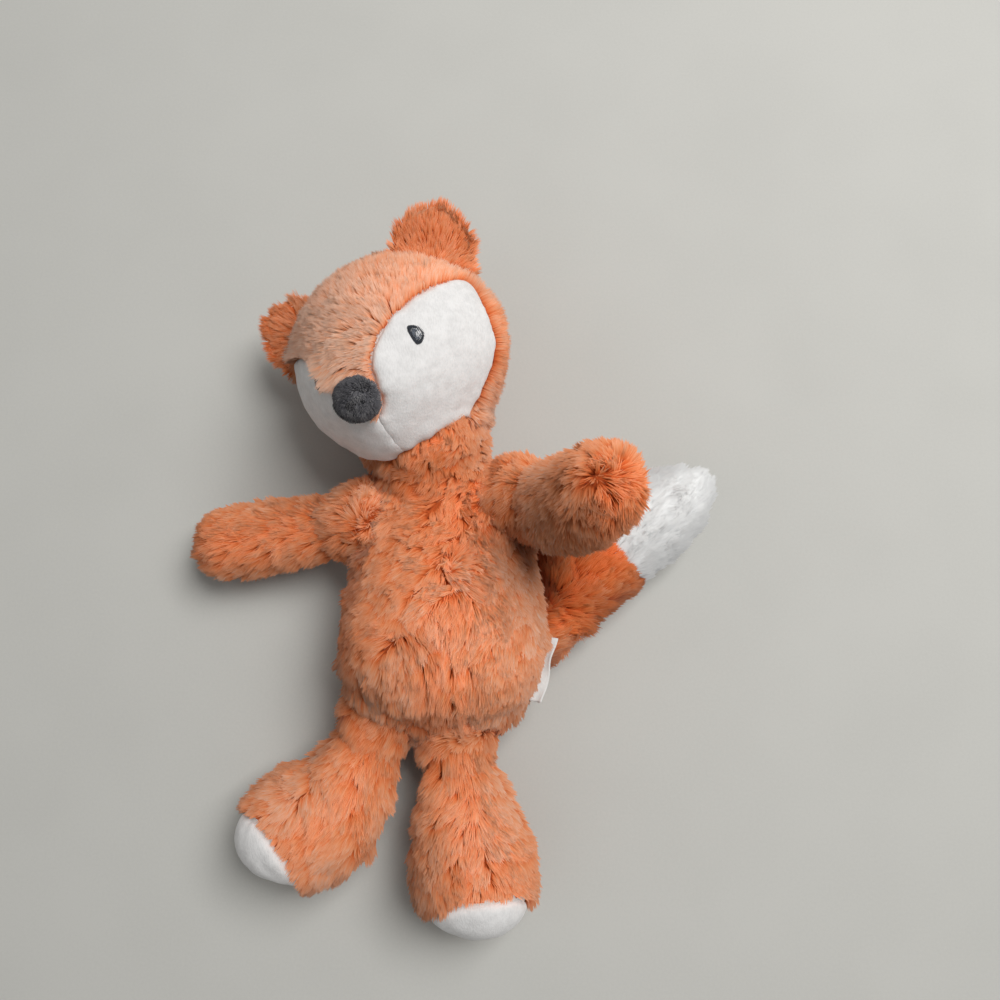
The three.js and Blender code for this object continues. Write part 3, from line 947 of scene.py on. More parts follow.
@dataclass(frozen=True)
class Patch:
    """A place where the fur is lighter, longer or more ruffled than elsewhere."""

    spot: Spot
    reach_mm: float
    tone: float = 0.0
    length: float = 0.0  # share added to the length
    ruffle: float = 0.0  # share added to how unevenly the locks lie
    lift_deg: float = 0.0

    def share(self, points: np.ndarray) -> np.ndarray:
        """How much some places belong to the patch, from 0 to 1."""
        return nearness(points, self.spot, self.reach_mm)


@dataclass(frozen=True)
class Coat:
    """A pile of fur: how long, dense, tousled and tufted it is.

    Single fibres of real pile are too fine to show. A strand stands for a wisp
    of them, and is as coarse as it needs to be to show.
    """

    length_mm: float = 9.2
    per_mm2: float = 5.2
    width_mm: float = 0.32
    root_rise_deg: float = 50.0
    tip_rise_deg: float = 16.0
    lock_mm: float = 4.8
    lock_pull: float = 0.22
    lock_turn_deg: float = 13.0
    lock_lift_deg: float = 7.0
    tuft_mm: float = 1.8
    tuft_pull: float = 0.17
    tuft_turn_deg: float = 9.0
    tuft_lift_deg: float = 6.0
    wander_deg: float = 24.0
    wander_mm: float = 16.0
    stray_deg: float = 6.0
    edge_gap_mm: float = -0.5
    edge_lift_deg: float = 38.0
    edge_trim: float = 0.1
    worn: float = 0.45  # share lost where the toy rests on the pile
    glow: float = 0.45  # least height of the shading normal on a side that light shines through
    tone: float = 0.5
    tone_spread: float = 0.1


@dataclass(frozen=True)
class Strand:
    """One strand of fur, modelled once and laid again and again."""

    bend_share: float = 0.42

    def template(self) -> tuple[np.ndarray, np.ndarray]:
        """Model the strand: a sliver with a root, two bent shoulders and a tip.

        Returns:
            Its vertices, as across, up and along shares, and its triangles.
        """
        deselect()
        radius = 0.5 / math.sin(math.radians(120))
        bpy.ops.mesh.primitive_cone_add(
            vertices=3, radius1=radius, radius2=0, depth=1, end_fill_type="NGON", location=(0, 0, 0.5)
        )
        sliver = bpy.context.object
        bpy.ops.object.transform_apply(location=True, rotation=True, scale=True)
        bpy.ops.object.mode_set(mode="EDIT")
        bpy.ops.mesh.select_mode(type="VERT")
        bpy.ops.mesh.select_all(action="DESELECT")
        bpy.ops.object.mode_set(mode="OBJECT")
        for vert in sliver.data.vertices:
            vert.select = vert.co.z < 0.5 and vert.co.y < 0
        bpy.ops.object.mode_set(mode="EDIT")
        bpy.ops.transform.translate(value=(0, 0, self.bend_share))
        bpy.ops.object.mode_set(mode="OBJECT")
        points, triangles = read_points(sliver.data), read_triangles(sliver.data)
        bpy.data.objects.remove(sliver, do_unlink=True)
        return points, triangles


class Furrier:
    """Lays coats of fur on padded skins."""

    UNDERSIDE = -0.25  # height of a normal below which the skin faces the ground
    UNDERSIDE_LOSS = 0.45  # share of the strands left out there, where they are never seen
    UNDERSIDE_WIDTH = 1.3  # how much wider the others are there
    SPLIT_BLUR_MM = 4.0  # how much two pieces of fur on one panel run into each other
    CLEARANCE_MM = 0.6  # no strand is rooted this close above another skin
    EDGE_MM = 4.0  # how far the edge beside short pile reaches
    ROOT_MM = 0.3  # how deep a strand starts below the skin
    LOWEST_MM = 0.9  # strands flatten out above the ground
    SETTLE_MM = 4.0  # how softly they do so
    ROLL_DEG = 26.0  # how unevenly strands are turned about their length
    SIDE_LIGHT = 0.45  # how much a strand's own round side shows in its shading
    SHADE_MM = 22.0  # size of the lighter and darker areas
    SHADE_TONE = 0.14
    LOCK_TONE = 0.07
    RISE_DEG = (4, 86)  # how flat and how steep a strand may stand
    TIP_APART = 0.25  # share of the distance of their roots that gathered tips keep
    MIDDLE_APART = 0.6  # the same where the strands bend
    MIDDLE_PULL = 0.5  # how much less the middle is pulled than the tip

    def __init__(self, seed: int) -> None:
        """Start from a seed, so that every run gives the same coat.

        Args:
            seed: What all random numbers start from.
        """
        self.random = np.random.default_rng(seed)
        self.turning = SoftNoise(seed + 1)
        self.shading = SoftNoise(seed + 2)
        self.lifting = SoftNoise(seed + 3)
        self.shape, self.triangles = Strand().template()
        height = self.shape[:, 2]
        self.step = np.select([height < 0.01, height > 0.99], [0, 2], 1)  # root, bend or tip

    def _roots(
        self, pad: Pad, panels: list[str], beside: Sequence[str], coat: Coat, stretch: tuple[float, float]
    ) -> tuple[np.ndarray, np.ndarray, np.ndarray, float]:
        """Pick the roots of the strands on some of a skin's panels.

        Args:
            pad: The skin.
            panels: The panels to cover.
            beside: Panels whose distance is wanted.
            coat: What the fur is like.
            stretch: Lowest and highest place along the toy that is covered.

        Returns:
            Places, normals, distance from the panels beside, and strands on
            each square metre.
        """
        mesh = pad.piece.data
        points, normals, triangles = read_points(mesh), read_normals(mesh), read_triangles(mesh)
        inside = pad.share_of(panels)
        near = np.min([pad.reach(p) for p in beside], axis=0) if beside else np.ones(len(points))
        sides = points[triangles]
        areas = np.linalg.norm(np.cross(sides[:, 1] - sides[:, 0], sides[:, 2] - sides[:, 0]), axis=1) / 2
        middle = sides[:, :, 1].mean(axis=1)
        taken = (inside[triangles].min(axis=1) > 0) & (middle > stretch[0]) & (middle < stretch[1])
        covered = areas[taken].sum()
        per_mm2 = coat.per_mm2 * 1.0
        density = min(per_mm2 / MM**2, MAX_STRANDS / covered)
        count = int(areas.sum() * density)
        chosen = self.random.choice(len(triangles), count, p=areas / areas.sum())
        a, b = np.sqrt(self.random.random(count)), self.random.random(count)
        shares = np.stack([1 - a, a * (1 - b), a * b], axis=1)

        def mix(table: np.ndarray) -> np.ndarray:
            """Read a table of the vertices at the roots."""
            return np.einsum("ij,ij...->i...", shares, table[triangles[chosen]])

        roots, facing = mix(points), unit(mix(normals))
        resting = (facing[:, 2] < self.UNDERSIDE) & (self.random.random(count) < self.UNDERSIDE_LOSS)
        keep = (mix(inside) > (coat.edge_gap_mm * MM if beside else 0)) & ~resting
        along = roots[:, 1] + self.random.normal(0, self.SPLIT_BLUR_MM * MM, count)
        keep &= (along > stretch[0]) & (along <= stretch[1])
        return roots[keep], facing[keep], mix(near)[keep], density

    def _nearest(self, points: np.ndarray, spacing_mm: float, area_m2: float) -> np.ndarray:
        """Gather points round randomly chosen ones.

        Args:
            points: The roots of the strands.
            spacing_mm: Usual distance between two gathering places.
            area_m2: Area that the strands cover.

        Returns:
            For each root, the number of the root that it gathers round.
        """
        count = max(4, min(len(points), int(area_m2 / (spacing_mm * MM) ** 2)))
        centres = self.random.choice(len(points), count, replace=False)
        tree = KDTree(count)
        for place, index in enumerate(centres):
            tree.insert(Vector(points[index]), place)
        tree.balance()
        return centres[[tree.find(Vector(p))[1] for p in points]]

    def grow(
        self,
        name: str,
        pad: Pad,
        panels: list[str],
        coat: Coat,
        combs: list[Comb],
        neighbours: list[Pad],
        patches: Sequence[Patch] = (),
        beside: Sequence[str] = (),
        stretch: tuple[float, float] = EVERYWHERE,
    ) -> bpy.types.Object:
        """Grow fur on some panels of a skin.

        Args:
            name: Name of the new piece.
            pad: The skin.
            panels: The CAD panels to cover.
            coat: What the fur is like.
            combs: How it is combed.
            neighbours: Other skins, in which no strand is rooted.
            patches: Places where it differs.
            beside: Panels of short pile, beside which the fur stands upright.
            stretch: Lowest and highest place along the toy that is covered.

        Returns:
            A mesh of strands.
        """
        roots, normals, near, density = self._roots(pad, panels, beside, coat, stretch)
        for other in neighbours:
            clear = ~other.holds(roots, self.CLEARANCE_MM)
            roots, normals, near = roots[clear], normals[clear], near[clear]
        count = len(roots)
        area = count / density
        shares = [(patch, patch.share(roots)) for patch in patches]
        ruffle = 1 + sum(patch.ruffle * share for patch, share in shares)
        locks = self._nearest(roots, coat.lock_mm, area)
        tufts = self._nearest(roots, coat.tuft_mm, area)

        def vary(spread: float, groups: np.ndarray | slice = slice(None)) -> np.ndarray:
            """Draw a number for each strand, shared by those of one lock or tuft."""
            return self.random.normal(0, spread, count)[groups]

        way = unit(sum(comb.stroke(roots, normals) for comb in combs))
        side = np.cross(normals, way)
        turn = coat.wander_deg * self.turning.at(roots, coat.wander_mm)
        turn = turn + vary(coat.lock_turn_deg, locks)
        turn = turn + vary(coat.tuft_turn_deg, tufts)
        turn = np.radians(ruffle * turn + vary(coat.stray_deg))
        ahead = way * np.cos(turn)[:, None] + side * np.sin(turn)[:, None]
        lift = coat.lock_lift_deg * (vary(1, locks) + self.lifting.at(roots, coat.wander_mm))
        lift = lift + vary(coat.tuft_lift_deg, tufts)
        lift = ruffle * lift + vary(coat.stray_deg)
        lift = lift + sum(patch.lift_deg * share for patch, share in shares)
        length = coat.length_mm * MM * self.random.uniform(0.9, 1.08, count)[locks]
        if beside:
            edge = np.exp(-near / (self.EDGE_MM * MM))
            lift = lift + coat.edge_lift_deg * edge
            length = length * (1 - coat.edge_trim * edge)
        length = length * (1 + sum(patch.length * share for patch, share in shares))
        length = length * self.random.uniform(0.82, 1.05, count)
        length = length * (1 - coat.worn * ease(-normals[:, 2], -0.1, 0.5))
        bend = Strand.bend_share
        root_way, tip_way = (
            ahead * np.cos(angle) + normals * np.sin(angle)
            for angle in (
                np.radians(np.clip(rise + lift, *self.RISE_DEG))[:, None]
                for rise in (coat.root_rise_deg, coat.tip_rise_deg)
            )
        )
        middle = roots + root_way * (length * bend)[:, None]
        tip = middle + tip_way * (length * (1 - bend))[:, None]
        for centres, pull in ((tufts, coat.tuft_pull), (locks, coat.lock_pull)):
            apart = roots - roots[centres]
            tip = tip + (tip[centres] + apart * self.TIP_APART - tip) * pull
            gathered = middle[centres] + apart * self.MIDDLE_APART
            middle = middle + (gathered - middle) * pull * self.MIDDLE_PULL
        root_way, tip_way = unit(middle - roots), unit(tip - middle)
        points = self._lay(roots - normals * self.ROOT_MM * MM, middle, tip, normals, coat)
        facing = self._facing(root_way, tip_way, normals, coat.glow)
        lowest, height = self.LOWEST_MM * MM, points[..., 2]
        settled = lowest * np.exp((height - lowest) / (self.SETTLE_MM * MM))
        points[..., 2] = np.where(height < lowest, settled, height)
        light = coat.tone + vary(coat.tone_spread)
        light = light + self.SHADE_TONE * self.shading.at(roots, self.SHADE_MM)
        light = light + vary(self.LOCK_TONE, locks)
        light = light + sum(patch.tone * share for patch, share in shares)
        return self._strand_mesh(name, points, facing, np.clip(light, 0.02, 0.98))

    def _lay(
        self, root: np.ndarray, middle: np.ndarray, tip: np.ndarray, normals: np.ndarray, coat: Coat
    ) -> np.ndarray:
        """Bend the strand's template along each strand's three points.

        Args:
            root: Where the strands start.
            middle: Where they bend.
            tip: Where they end.
            normals: The skin's normals at the roots.
            coat: The coat that they belong to.

        Returns:
            The vertices of each strand.
        """
        count = len(root)
        along = unit(tip - root)
        across = unit(np.cross(along, normals) + 1e-6)
        roll = self.random.normal(0, math.radians(self.ROLL_DEG), count)[:, None]
        across = across * np.cos(roll) + np.cross(along, across) * np.sin(roll)
        width = coat.width_mm * MM * self.random.uniform(0.8, 1.2, count)
        width = width * np.where(normals[:, 2] < self.UNDERSIDE, self.UNDERSIDE_WIDTH, 1.0)
        shape = self.shape
        shift = np.where(self.step == 1, shape[:, 0], 0.0)
        spine = np.stack([root, middle, tip], axis=1)
        points = spine[:, self.step] + across[:, None] * (shift * width[:, None])[..., None]
        corners = (points - points[:, :1])[:, self.triangles]
        volume = np.einsum("ijk,ijk->i", corners[:, :, 0], np.cross(corners[:, :, 1], corners[:, :, 2]))
        mirror = [int(np.abs(shape - row * (-1, 1, 1)).sum(axis=1).argmin()) for row in shape]
        points[volume < 0] = points[volume < 0][:, mirror]
        return points

    def _facing(
        self, root_way: np.ndarray, tip_way: np.ndarray, normals: np.ndarray, glow: float
    ) -> np.ndarray:
        """Soft normals, because light passes through thin strands.

        Args:
            root_way: Direction of each strand at its root.
            tip_way: Direction of each strand at its tip.
            normals: The skin's normals at the roots.
            glow: Least height of a normal on an upright side.

        Returns:
            One normal for each vertex of each strand.
        """
        ways = (root_way, unit(root_way + tip_way), tip_way)
        rows = []
        for way in ways:
            side = normals - way * np.sum(normals * way, axis=1, keepdims=True)
            soft = unit(normals + unit(side) * self.SIDE_LIGHT)
            least = (1 + glow) * ease(normals[:, 2], -0.85, -0.3) - 1
            soft[:, 2] = np.maximum(soft[:, 2], least)
            rows.append(unit(soft))
        return np.stack(rows, axis=1)[:, self.step]

    def _strand_mesh(
        self, name: str, points: np.ndarray, facing: np.ndarray, light: np.ndarray
    ) -> bpy.types.Object:
        """Write strands as one mesh with the fur's own map.

        Args:
            name: Name of the new piece.
            points: The vertices of each strand.
            facing: Their normals.
            light: The tone of each strand.

        Returns:
            The new mesh object.
        """
        count, corners = points.shape[:2]
        faces = len(self.triangles)
        mesh = bpy.data.meshes.new(name)
        mesh.vertices.add(count * corners)
        mesh.vertices.foreach_set("co", points.astype(np.float32).ravel())
        index = (np.arange(count)[:, None, None] * corners + self.triangles).astype(np.int32)
        mesh.loops.add(count * faces * 3)
        mesh.loops.foreach_set("vertex_index", index.ravel())
        mesh.polygons.add(count * faces)
        mesh.polygons.foreach_set("loop_start", np.arange(0, count * faces * 3, 3, dtype=np.int32))
        mesh.update(calc_edges=True)
        u = np.clip(light[:, None] + self.shape[:, 0] * 0.02, 0.005, 0.995)
        v = np.tile(0.02 + 0.96 * self.shape[:, 2], (count, 1))
        coords = np.stack([u, v], axis=-1).reshape(-1, 2)[index.ravel()]
        layer = mesh.uv_layers.new(name=FUR_MAP)
        layer.data.foreach_set("uv", coords.astype(np.float32).ravel())
        mesh.shade_smooth()
        mesh.normals_split_custom_set_from_vertices(facing.reshape(-1, 3))
        return new_object(name, mesh)


# Sub-assemblies


@dataclass
class Workshop:
    """What every sub-assembly works with: the CAD, the furrier and the skins."""

    nodes: dict[str, bpy.types.Object]
    pivots: dict[str, np.ndarray]
    furrier: Furrier
    pads: dict[str, Pad] = field(default_factory=dict)

    ROOT_RADIUS_MM = {"neck_turn": 24.0, "arm": 16.0, "leg": 15.5, "tail": 12.5}

    def seat(self, joint: str) -> Seat:
        """The seat round a joint."""
        radius = self.ROOT_RADIUS_MM.get(joint, self.ROOT_RADIUS_MM.get(joint.split("_")[0]))
        return Seat(self.pivots[joint], radius)

    def stuff(
        self, pad: Pad, backing: ClothFinish = FUR_BACKING
    ) -> Pad:
        """Build a skin, let it stand for its CAD nodes and keep it.

        Args:
            pad: The skin to build.
            backing: The cloth that it is made of.

        Returns:
            The same skin.
        """
        pad.build(self.nodes)
        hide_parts(*(panel for panel in pad.panels if panel not in pad.velour), *pad.filling)
        finish_piece(pad.piece, backing, pad.body)
        self.pads[pad.name] = pad
        return pad

    def sew_velour(
        self, pad: Pad, panel: str, roll_mm: float, twin: str | None = None
    ) -> bpy.types.Object:
        """Sew one velour panel on a skin.

        Args:
            pad: The skin.
            panel: The CAD panel that it stands for.
            roll_mm: How far from its seam it reaches its full thickness.
            twin: A panel to which it is joined by a flat seam.

        Returns:
            The panel.
        """
        piece = pad.velour_panel(panel, roll_mm, twin)
        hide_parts(panel)
        finish_piece(piece, WHITE_VELOUR, pad.body)
        return piece

    def cover(
        self,
        name: str,
        pad: Pad,
        panels: list[str],
        coat: Coat,
        combs: list[Comb],
        patches: Sequence[Patch] = (),
        beside: Sequence[str] = (),
        stretch: tuple[float, float] = EVERYWHERE,
        finish: FurFinish = ORANGE_FUR,
        slot: str = "orange_fur",
        buried: bool = False,
    ) -> None:
        """Grow one piece of fur on a skin and finish it.

        Args:
            name: Name of the new piece.
            pad: The skin.
            panels: The CAD panels to cover.
            coat: What the fur is like.
            combs: How it is combed.
            patches: Places where it differs.
            beside: Panels of short pile, beside which the fur stands upright.
            stretch: Lowest and highest place along the toy that is covered.
            finish: What the strands are made of.
            slot: The record's material slot; not used.
            buried: Whether it also grows where it lies inside another skin.
        """
        others = [] if buried else [other for other in self.pads.values() if other is not pad]
        piece = self.furrier.grow(name, pad, panels, coat, combs, others, patches, beside, stretch)
        finish_piece(piece, finish, pad.body)


@dataclass(frozen=True)
class CareLabel:
    """A bare satin ribbon, folded double and caught in the side seam."""

    length_mm: float = 27.0
    stand_mm: float = 2.8
    hidden_mm: float = 6.0
    ribbon_mm: float = 0.24
    fold_mm: float = 0.4
    stations: int = 28
    out_mm: float = 1.3  # how far it lies outside its CAD node at its upper end
    taper_mm: float = 1.0  # how much less at its lower end
    waves: float = 1.5
    wave_mm: float = 0.3
    lean_deg: float = 28.0
    sway_deg: float = 24.0  # how much the lean changes with the waves

    def _section(self) -> np.ndarray:
        """Outline the folded ribbon: its outer side, then its inner side.

        Returns:
            Places across the seam and above it, in mm.
        """
        turns = np.linspace(-math.pi / 2, math.pi / 2, 7)
        rows = []
        for radius in (self.fold_mm + self.ribbon_mm / 2, self.fold_mm - self.ribbon_mm / 2):
            flat = np.linspace(-self.hidden_mm, self.stand_mm - self.fold_mm, 5)[:-1]
            bend = [(flat[-1] + 1 + radius * math.cos(t), radius * math.sin(t)) for t in turns]
            below = [(x, -radius) for x in flat]
            rows.append(np.array([*below, *bend, *((x, -z) for x, z in reversed(below))]))
        return np.array(rows)

    def sew(self, shop: Workshop) -> None:
        """Lay the ribbon along its CAD node, a little waved and twisted.

        Args:
            shop: The workshop.
        """
        _, centre, axes = middle_and_axes(shop.nodes["care_label"])
        along = axes[0] * -np.sign(axes[0][1])
        out = unit(np.cross(along, (0, 0, 1)) * -1)
        out = out * np.sign(out[0])
        section = self._section()
        count = section.shape[1]
        rings = []
        for t in np.linspace(0, 1, self.stations):
            wave = math.cos(2 * math.pi * self.waves * t)
            lean = math.radians(self.lean_deg - self.sway_deg * wave)
            shift = self.out_mm + self.wave_mm * wave - self.taper_mm * t
            base = centre + along * (t - 0.5) * self.length_mm * MM + out * shift * MM
            x, z = section[..., 0] * MM, section[..., 1] * MM
            side = x * math.cos(lean) - z * math.sin(lean)
            rise = np.maximum(x, 0) * math.sin(lean) + z * math.cos(lean)
            rings.append(base + side[..., None] * out + rise[..., None] * np.array((0, 0, 1)))
        shape = bmesh.new()
        loops = [[shape.verts.new(p) for p in (*outer, *inner[::-1])] for outer, inner in rings]
        for near, far in zip(loops, loops[1:]):
            for k in range(-1, 2 * count - 1):
                shape.faces.new((near[k], near[k + 1], far[k + 1], far[k]))
        for loop in (loops[0], loops[-1]):
            for k in range(count - 1):
                shape.faces.new((loop[k], loop[k + 1], loop[-k - 2], loop[-k - 1]))
        bmesh.ops.recalc_face_normals(shape, faces=shape.faces)
        mesh = bpy.data.meshes.new("care_label_ribbon")
        shape.to_mesh(mesh)
        shape.free()
        piece = new_object("care_label_ribbon", mesh)
        mesh.shade_smooth()
        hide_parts("care_label")
        finish_piece(piece, SATIN, "torso")


@dataclass
class Torso:
    """Chest, belly and back, with the care label."""

    pile_mm: float = 4.4
    fill: float = 0.55
    coat: Coat = field(default_factory=lambda: Coat(per_mm2=5.8))
    back_coat: Coat = field(default_factory=lambda: Coat(length_mm=8.6, per_mm2=3.4, width_mm=0.44))
    chest_whorl: Spot = (0.003, -0.003, 0.058)
    belly_whorl: Spot = (-0.018, -0.032, 0.061)
    throat: Spot = (-0.001, 0.03, 0.052)
    flank: Spot = (-0.04, -0.015, 0.035)
    overhang: tuple[Spot, ...] = (
        (-0.022, -0.066, 0.04),
        (-0.005, -0.066, 0.046),
        (0.012, -0.066, 0.044),
        (0.028, -0.06, 0.036),
    )
    seat: Spot = (0.026, -0.059, 0.018)
    belly: Spot = (0.012, -0.032, 0.058)
    armpit: Spot = (0.0385, 0.004, 0.022)
    waist: float = -0.02  # where the fur is split in two pieces

    def sew(self, shop: Workshop) -> None:
        """Sew and stuff the torso's skin, with its label.

        Args:
            shop: The workshop.
        """
        panels = {"torso_front_panel": self.pile_mm, "torso_back_panel": self.pile_mm}
        seats = [shop.seat(j) for j in shop.pivots if not j.startswith("ear")]
        swells = (Swell(self.seat, 12, 9.0), Swell(self.armpit, 9, 2.5))
        shop.stuff(Pad("torso_skin", "torso", panels, ["torso_filling"], seats, swells))
        CareLabel().sew(shop)

    def cover(self, shop: Workshop) -> None:
        """Grow the torso's fur.

        Args:
            shop: The workshop.
        """
        pad = shop.pads["torso_skin"]
        downwards = Comb(Lie.ALONG, (-0.12, -1, 0))
        combs = [
            downwards,
            Comb(Lie.AWAY, self.chest_whorl, 1.5, 25, self.chest_whorl, 19),
            Comb(Lie.AWAY, self.belly_whorl, 1.2, 0, self.belly_whorl, 14),
            Comb(Lie.ALONG, (-0.7, -0.2, 0), 2.0, 0, self.throat, 18),
        ]
        patches = [
            # Deeper, darker orange at the throat: painted shade deep in the parted pile
            Patch(self.throat, 28, tone=-0.24, length=-0.15, ruffle=1.1, lift_deg=10),
            Patch(self.chest_whorl, 18, tone=-0.03, ruffle=0.6),
            Patch(self.chest_whorl, 6, lift_deg=34),
            Patch(self.belly_whorl, 6, lift_deg=30, ruffle=0.6),
            # Darker flank, on the side that faces away from the lamp: painted shade
            Patch(self.flank, 24, tone=-0.3),
            Patch(self.belly, 24, tone=0.1),
            Patch(self.armpit, 8, length=0.6),
            Patch(tuple(np.mean(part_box("care_label"), axis=0)), 12, length=-0.3),
            *(Patch(spot, 11, length=-0.22) for spot in self.overhang),
        ]
        front, back = ["torso_front_panel"], ["torso_back_panel"]
        lowest, highest = EVERYWHERE
        shop.cover("chest_fur", pad, front, self.coat, combs, patches, stretch=(self.waist, highest))
        shop.cover("belly_fur", pad, front, self.coat, combs, patches, stretch=(lowest, self.waist))
        shop.cover("torso_back_fur", pad, back, self.back_coat, [downwards])


@dataclass(frozen=True)
class Embroidery:
    """An eye in satin stitch: a dark ring, a grey middle and a white glint."""

    node: str
    bulge: Spot
    thread_mm: float = 0.36
    bean: float = 0.22
    slim: float = 0.84

    LIFT_MM = (0.02, 0.16, 0.14, 0.34)
    THREAD = (0, 0, 1, 2)

    def _stitches(self, random: np.random.Generator) -> list[tuple[float, float, float, float, int]]:
        """Lay out the stitches.

        Args:
            random: What makes the stitches uneven.

        Returns:
            Ends of the stitches as shares of the eye, and the layer of each.
        """
        rows = []
        for y in np.linspace(-0.84, 0.84, 11):
            reach = 0.94 * math.sqrt(1 - y * y)
            rows.append((-reach, y, reach, y, 0))
        for angle in np.linspace(0, 2 * math.pi, 44, endpoint=False):
            inner, outer = 0.66 + random.uniform(-0.05, 0.05), 1.0 + random.uniform(-0.02, 0.03)
            x, y = math.cos(angle), math.sin(angle)
            rows.append((inner * x, inner * y, outer * x, outer * y, 1))
        for y in np.linspace(-0.45, 0.45, 7):
            reach = 0.6 * math.sqrt(1 - (y / 0.6) ** 2)
            middle = random.uniform(-0.2, 0.2)
            rows.append((-reach, y, middle, y + 0.04, 2))
            rows.append((middle, y - 0.04, reach, y, 2))
        for x, y in ((-0.2, 0.06), (-0.14, -0.2), (-0.04, 0.28), (0.02, -0.06), (0.12, 0.2)):
            rows.append((x - 0.17, y, x + 0.17, y + 0.1, 3))
        return rows

    def sew(self, shop: Workshop, cloth: BVHTree) -> None:
        """Stitch the eye on a panel of cloth.

        Args:
            shop: The workshop.
            cloth: The surface of the panel.
        """
        points, centre, (long, short, _) = middle_and_axes(shop.nodes[self.node])
        short = short * np.sign(short @ np.array(self.bulge))
        half_long, half_short = (np.ptp((points - centre) @ axis) / 2 for axis in (long, short))
        half_short *= self.slim
        deselect()
        bpy.ops.mesh.primitive_uv_sphere_add(segments=6, ring_count=5, radius=1)
        thread = bpy.context.object
        shape, triangles = read_points(thread.data), read_triangles(thread.data)
        bpy.data.objects.remove(thread, do_unlink=True)

        def spot(x: float, y: float) -> np.ndarray:
            """Place on the bean-shaped eye, before it is laid on the cloth."""
            bend = self.bean * (0.5 - x * x) * 2
            return centre + long * x * half_long + short * (y + bend) * half_short

        places, threads = [], []
        rows = self._stitches(np.random.default_rng(5))
        for x0, y0, x1, y1, layer in rows:
            start, end = spot(x0, y0), spot(x1, y1)
            ground, normal, _, _ = cloth.find_nearest(Vector((start + end) / 2))
            normal = np.array(normal)
            way = unit(end - start - normal * ((end - start) @ normal))
            reach = np.linalg.norm(end - start) / 2 + 0.12 * MM
            radius = self.thread_mm * MM / 2
            lift = self.LIFT_MM[layer] * MM
            axes = np.array([way * reach, np.cross(normal, way) * radius, normal * radius * 1.2])
            places.append(shape[:, [2, 0, 1]] @ axes + np.array(ground) + normal * lift)
            threads += [self.THREAD[layer]] * len(triangles)
        count = len(shape)
        faces = np.concatenate([triangles + index * count for index in range(len(rows))])
        mesh = bpy.data.meshes.new(f"{self.node}_embroidery")
        mesh.from_pydata(np.concatenate(places).tolist(), [], faces.tolist())
        piece = new_object(mesh.name, mesh)
        mesh.shade_smooth()
        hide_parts(self.node)
        finish_piece(piece, DARK_THREAD, "head")
        mesh.materials.append(GREY_THREAD.material())
        mesh.materials.append(WHITE_THREAD.material())
        mesh.polygons.foreach_set("material_index", threads)


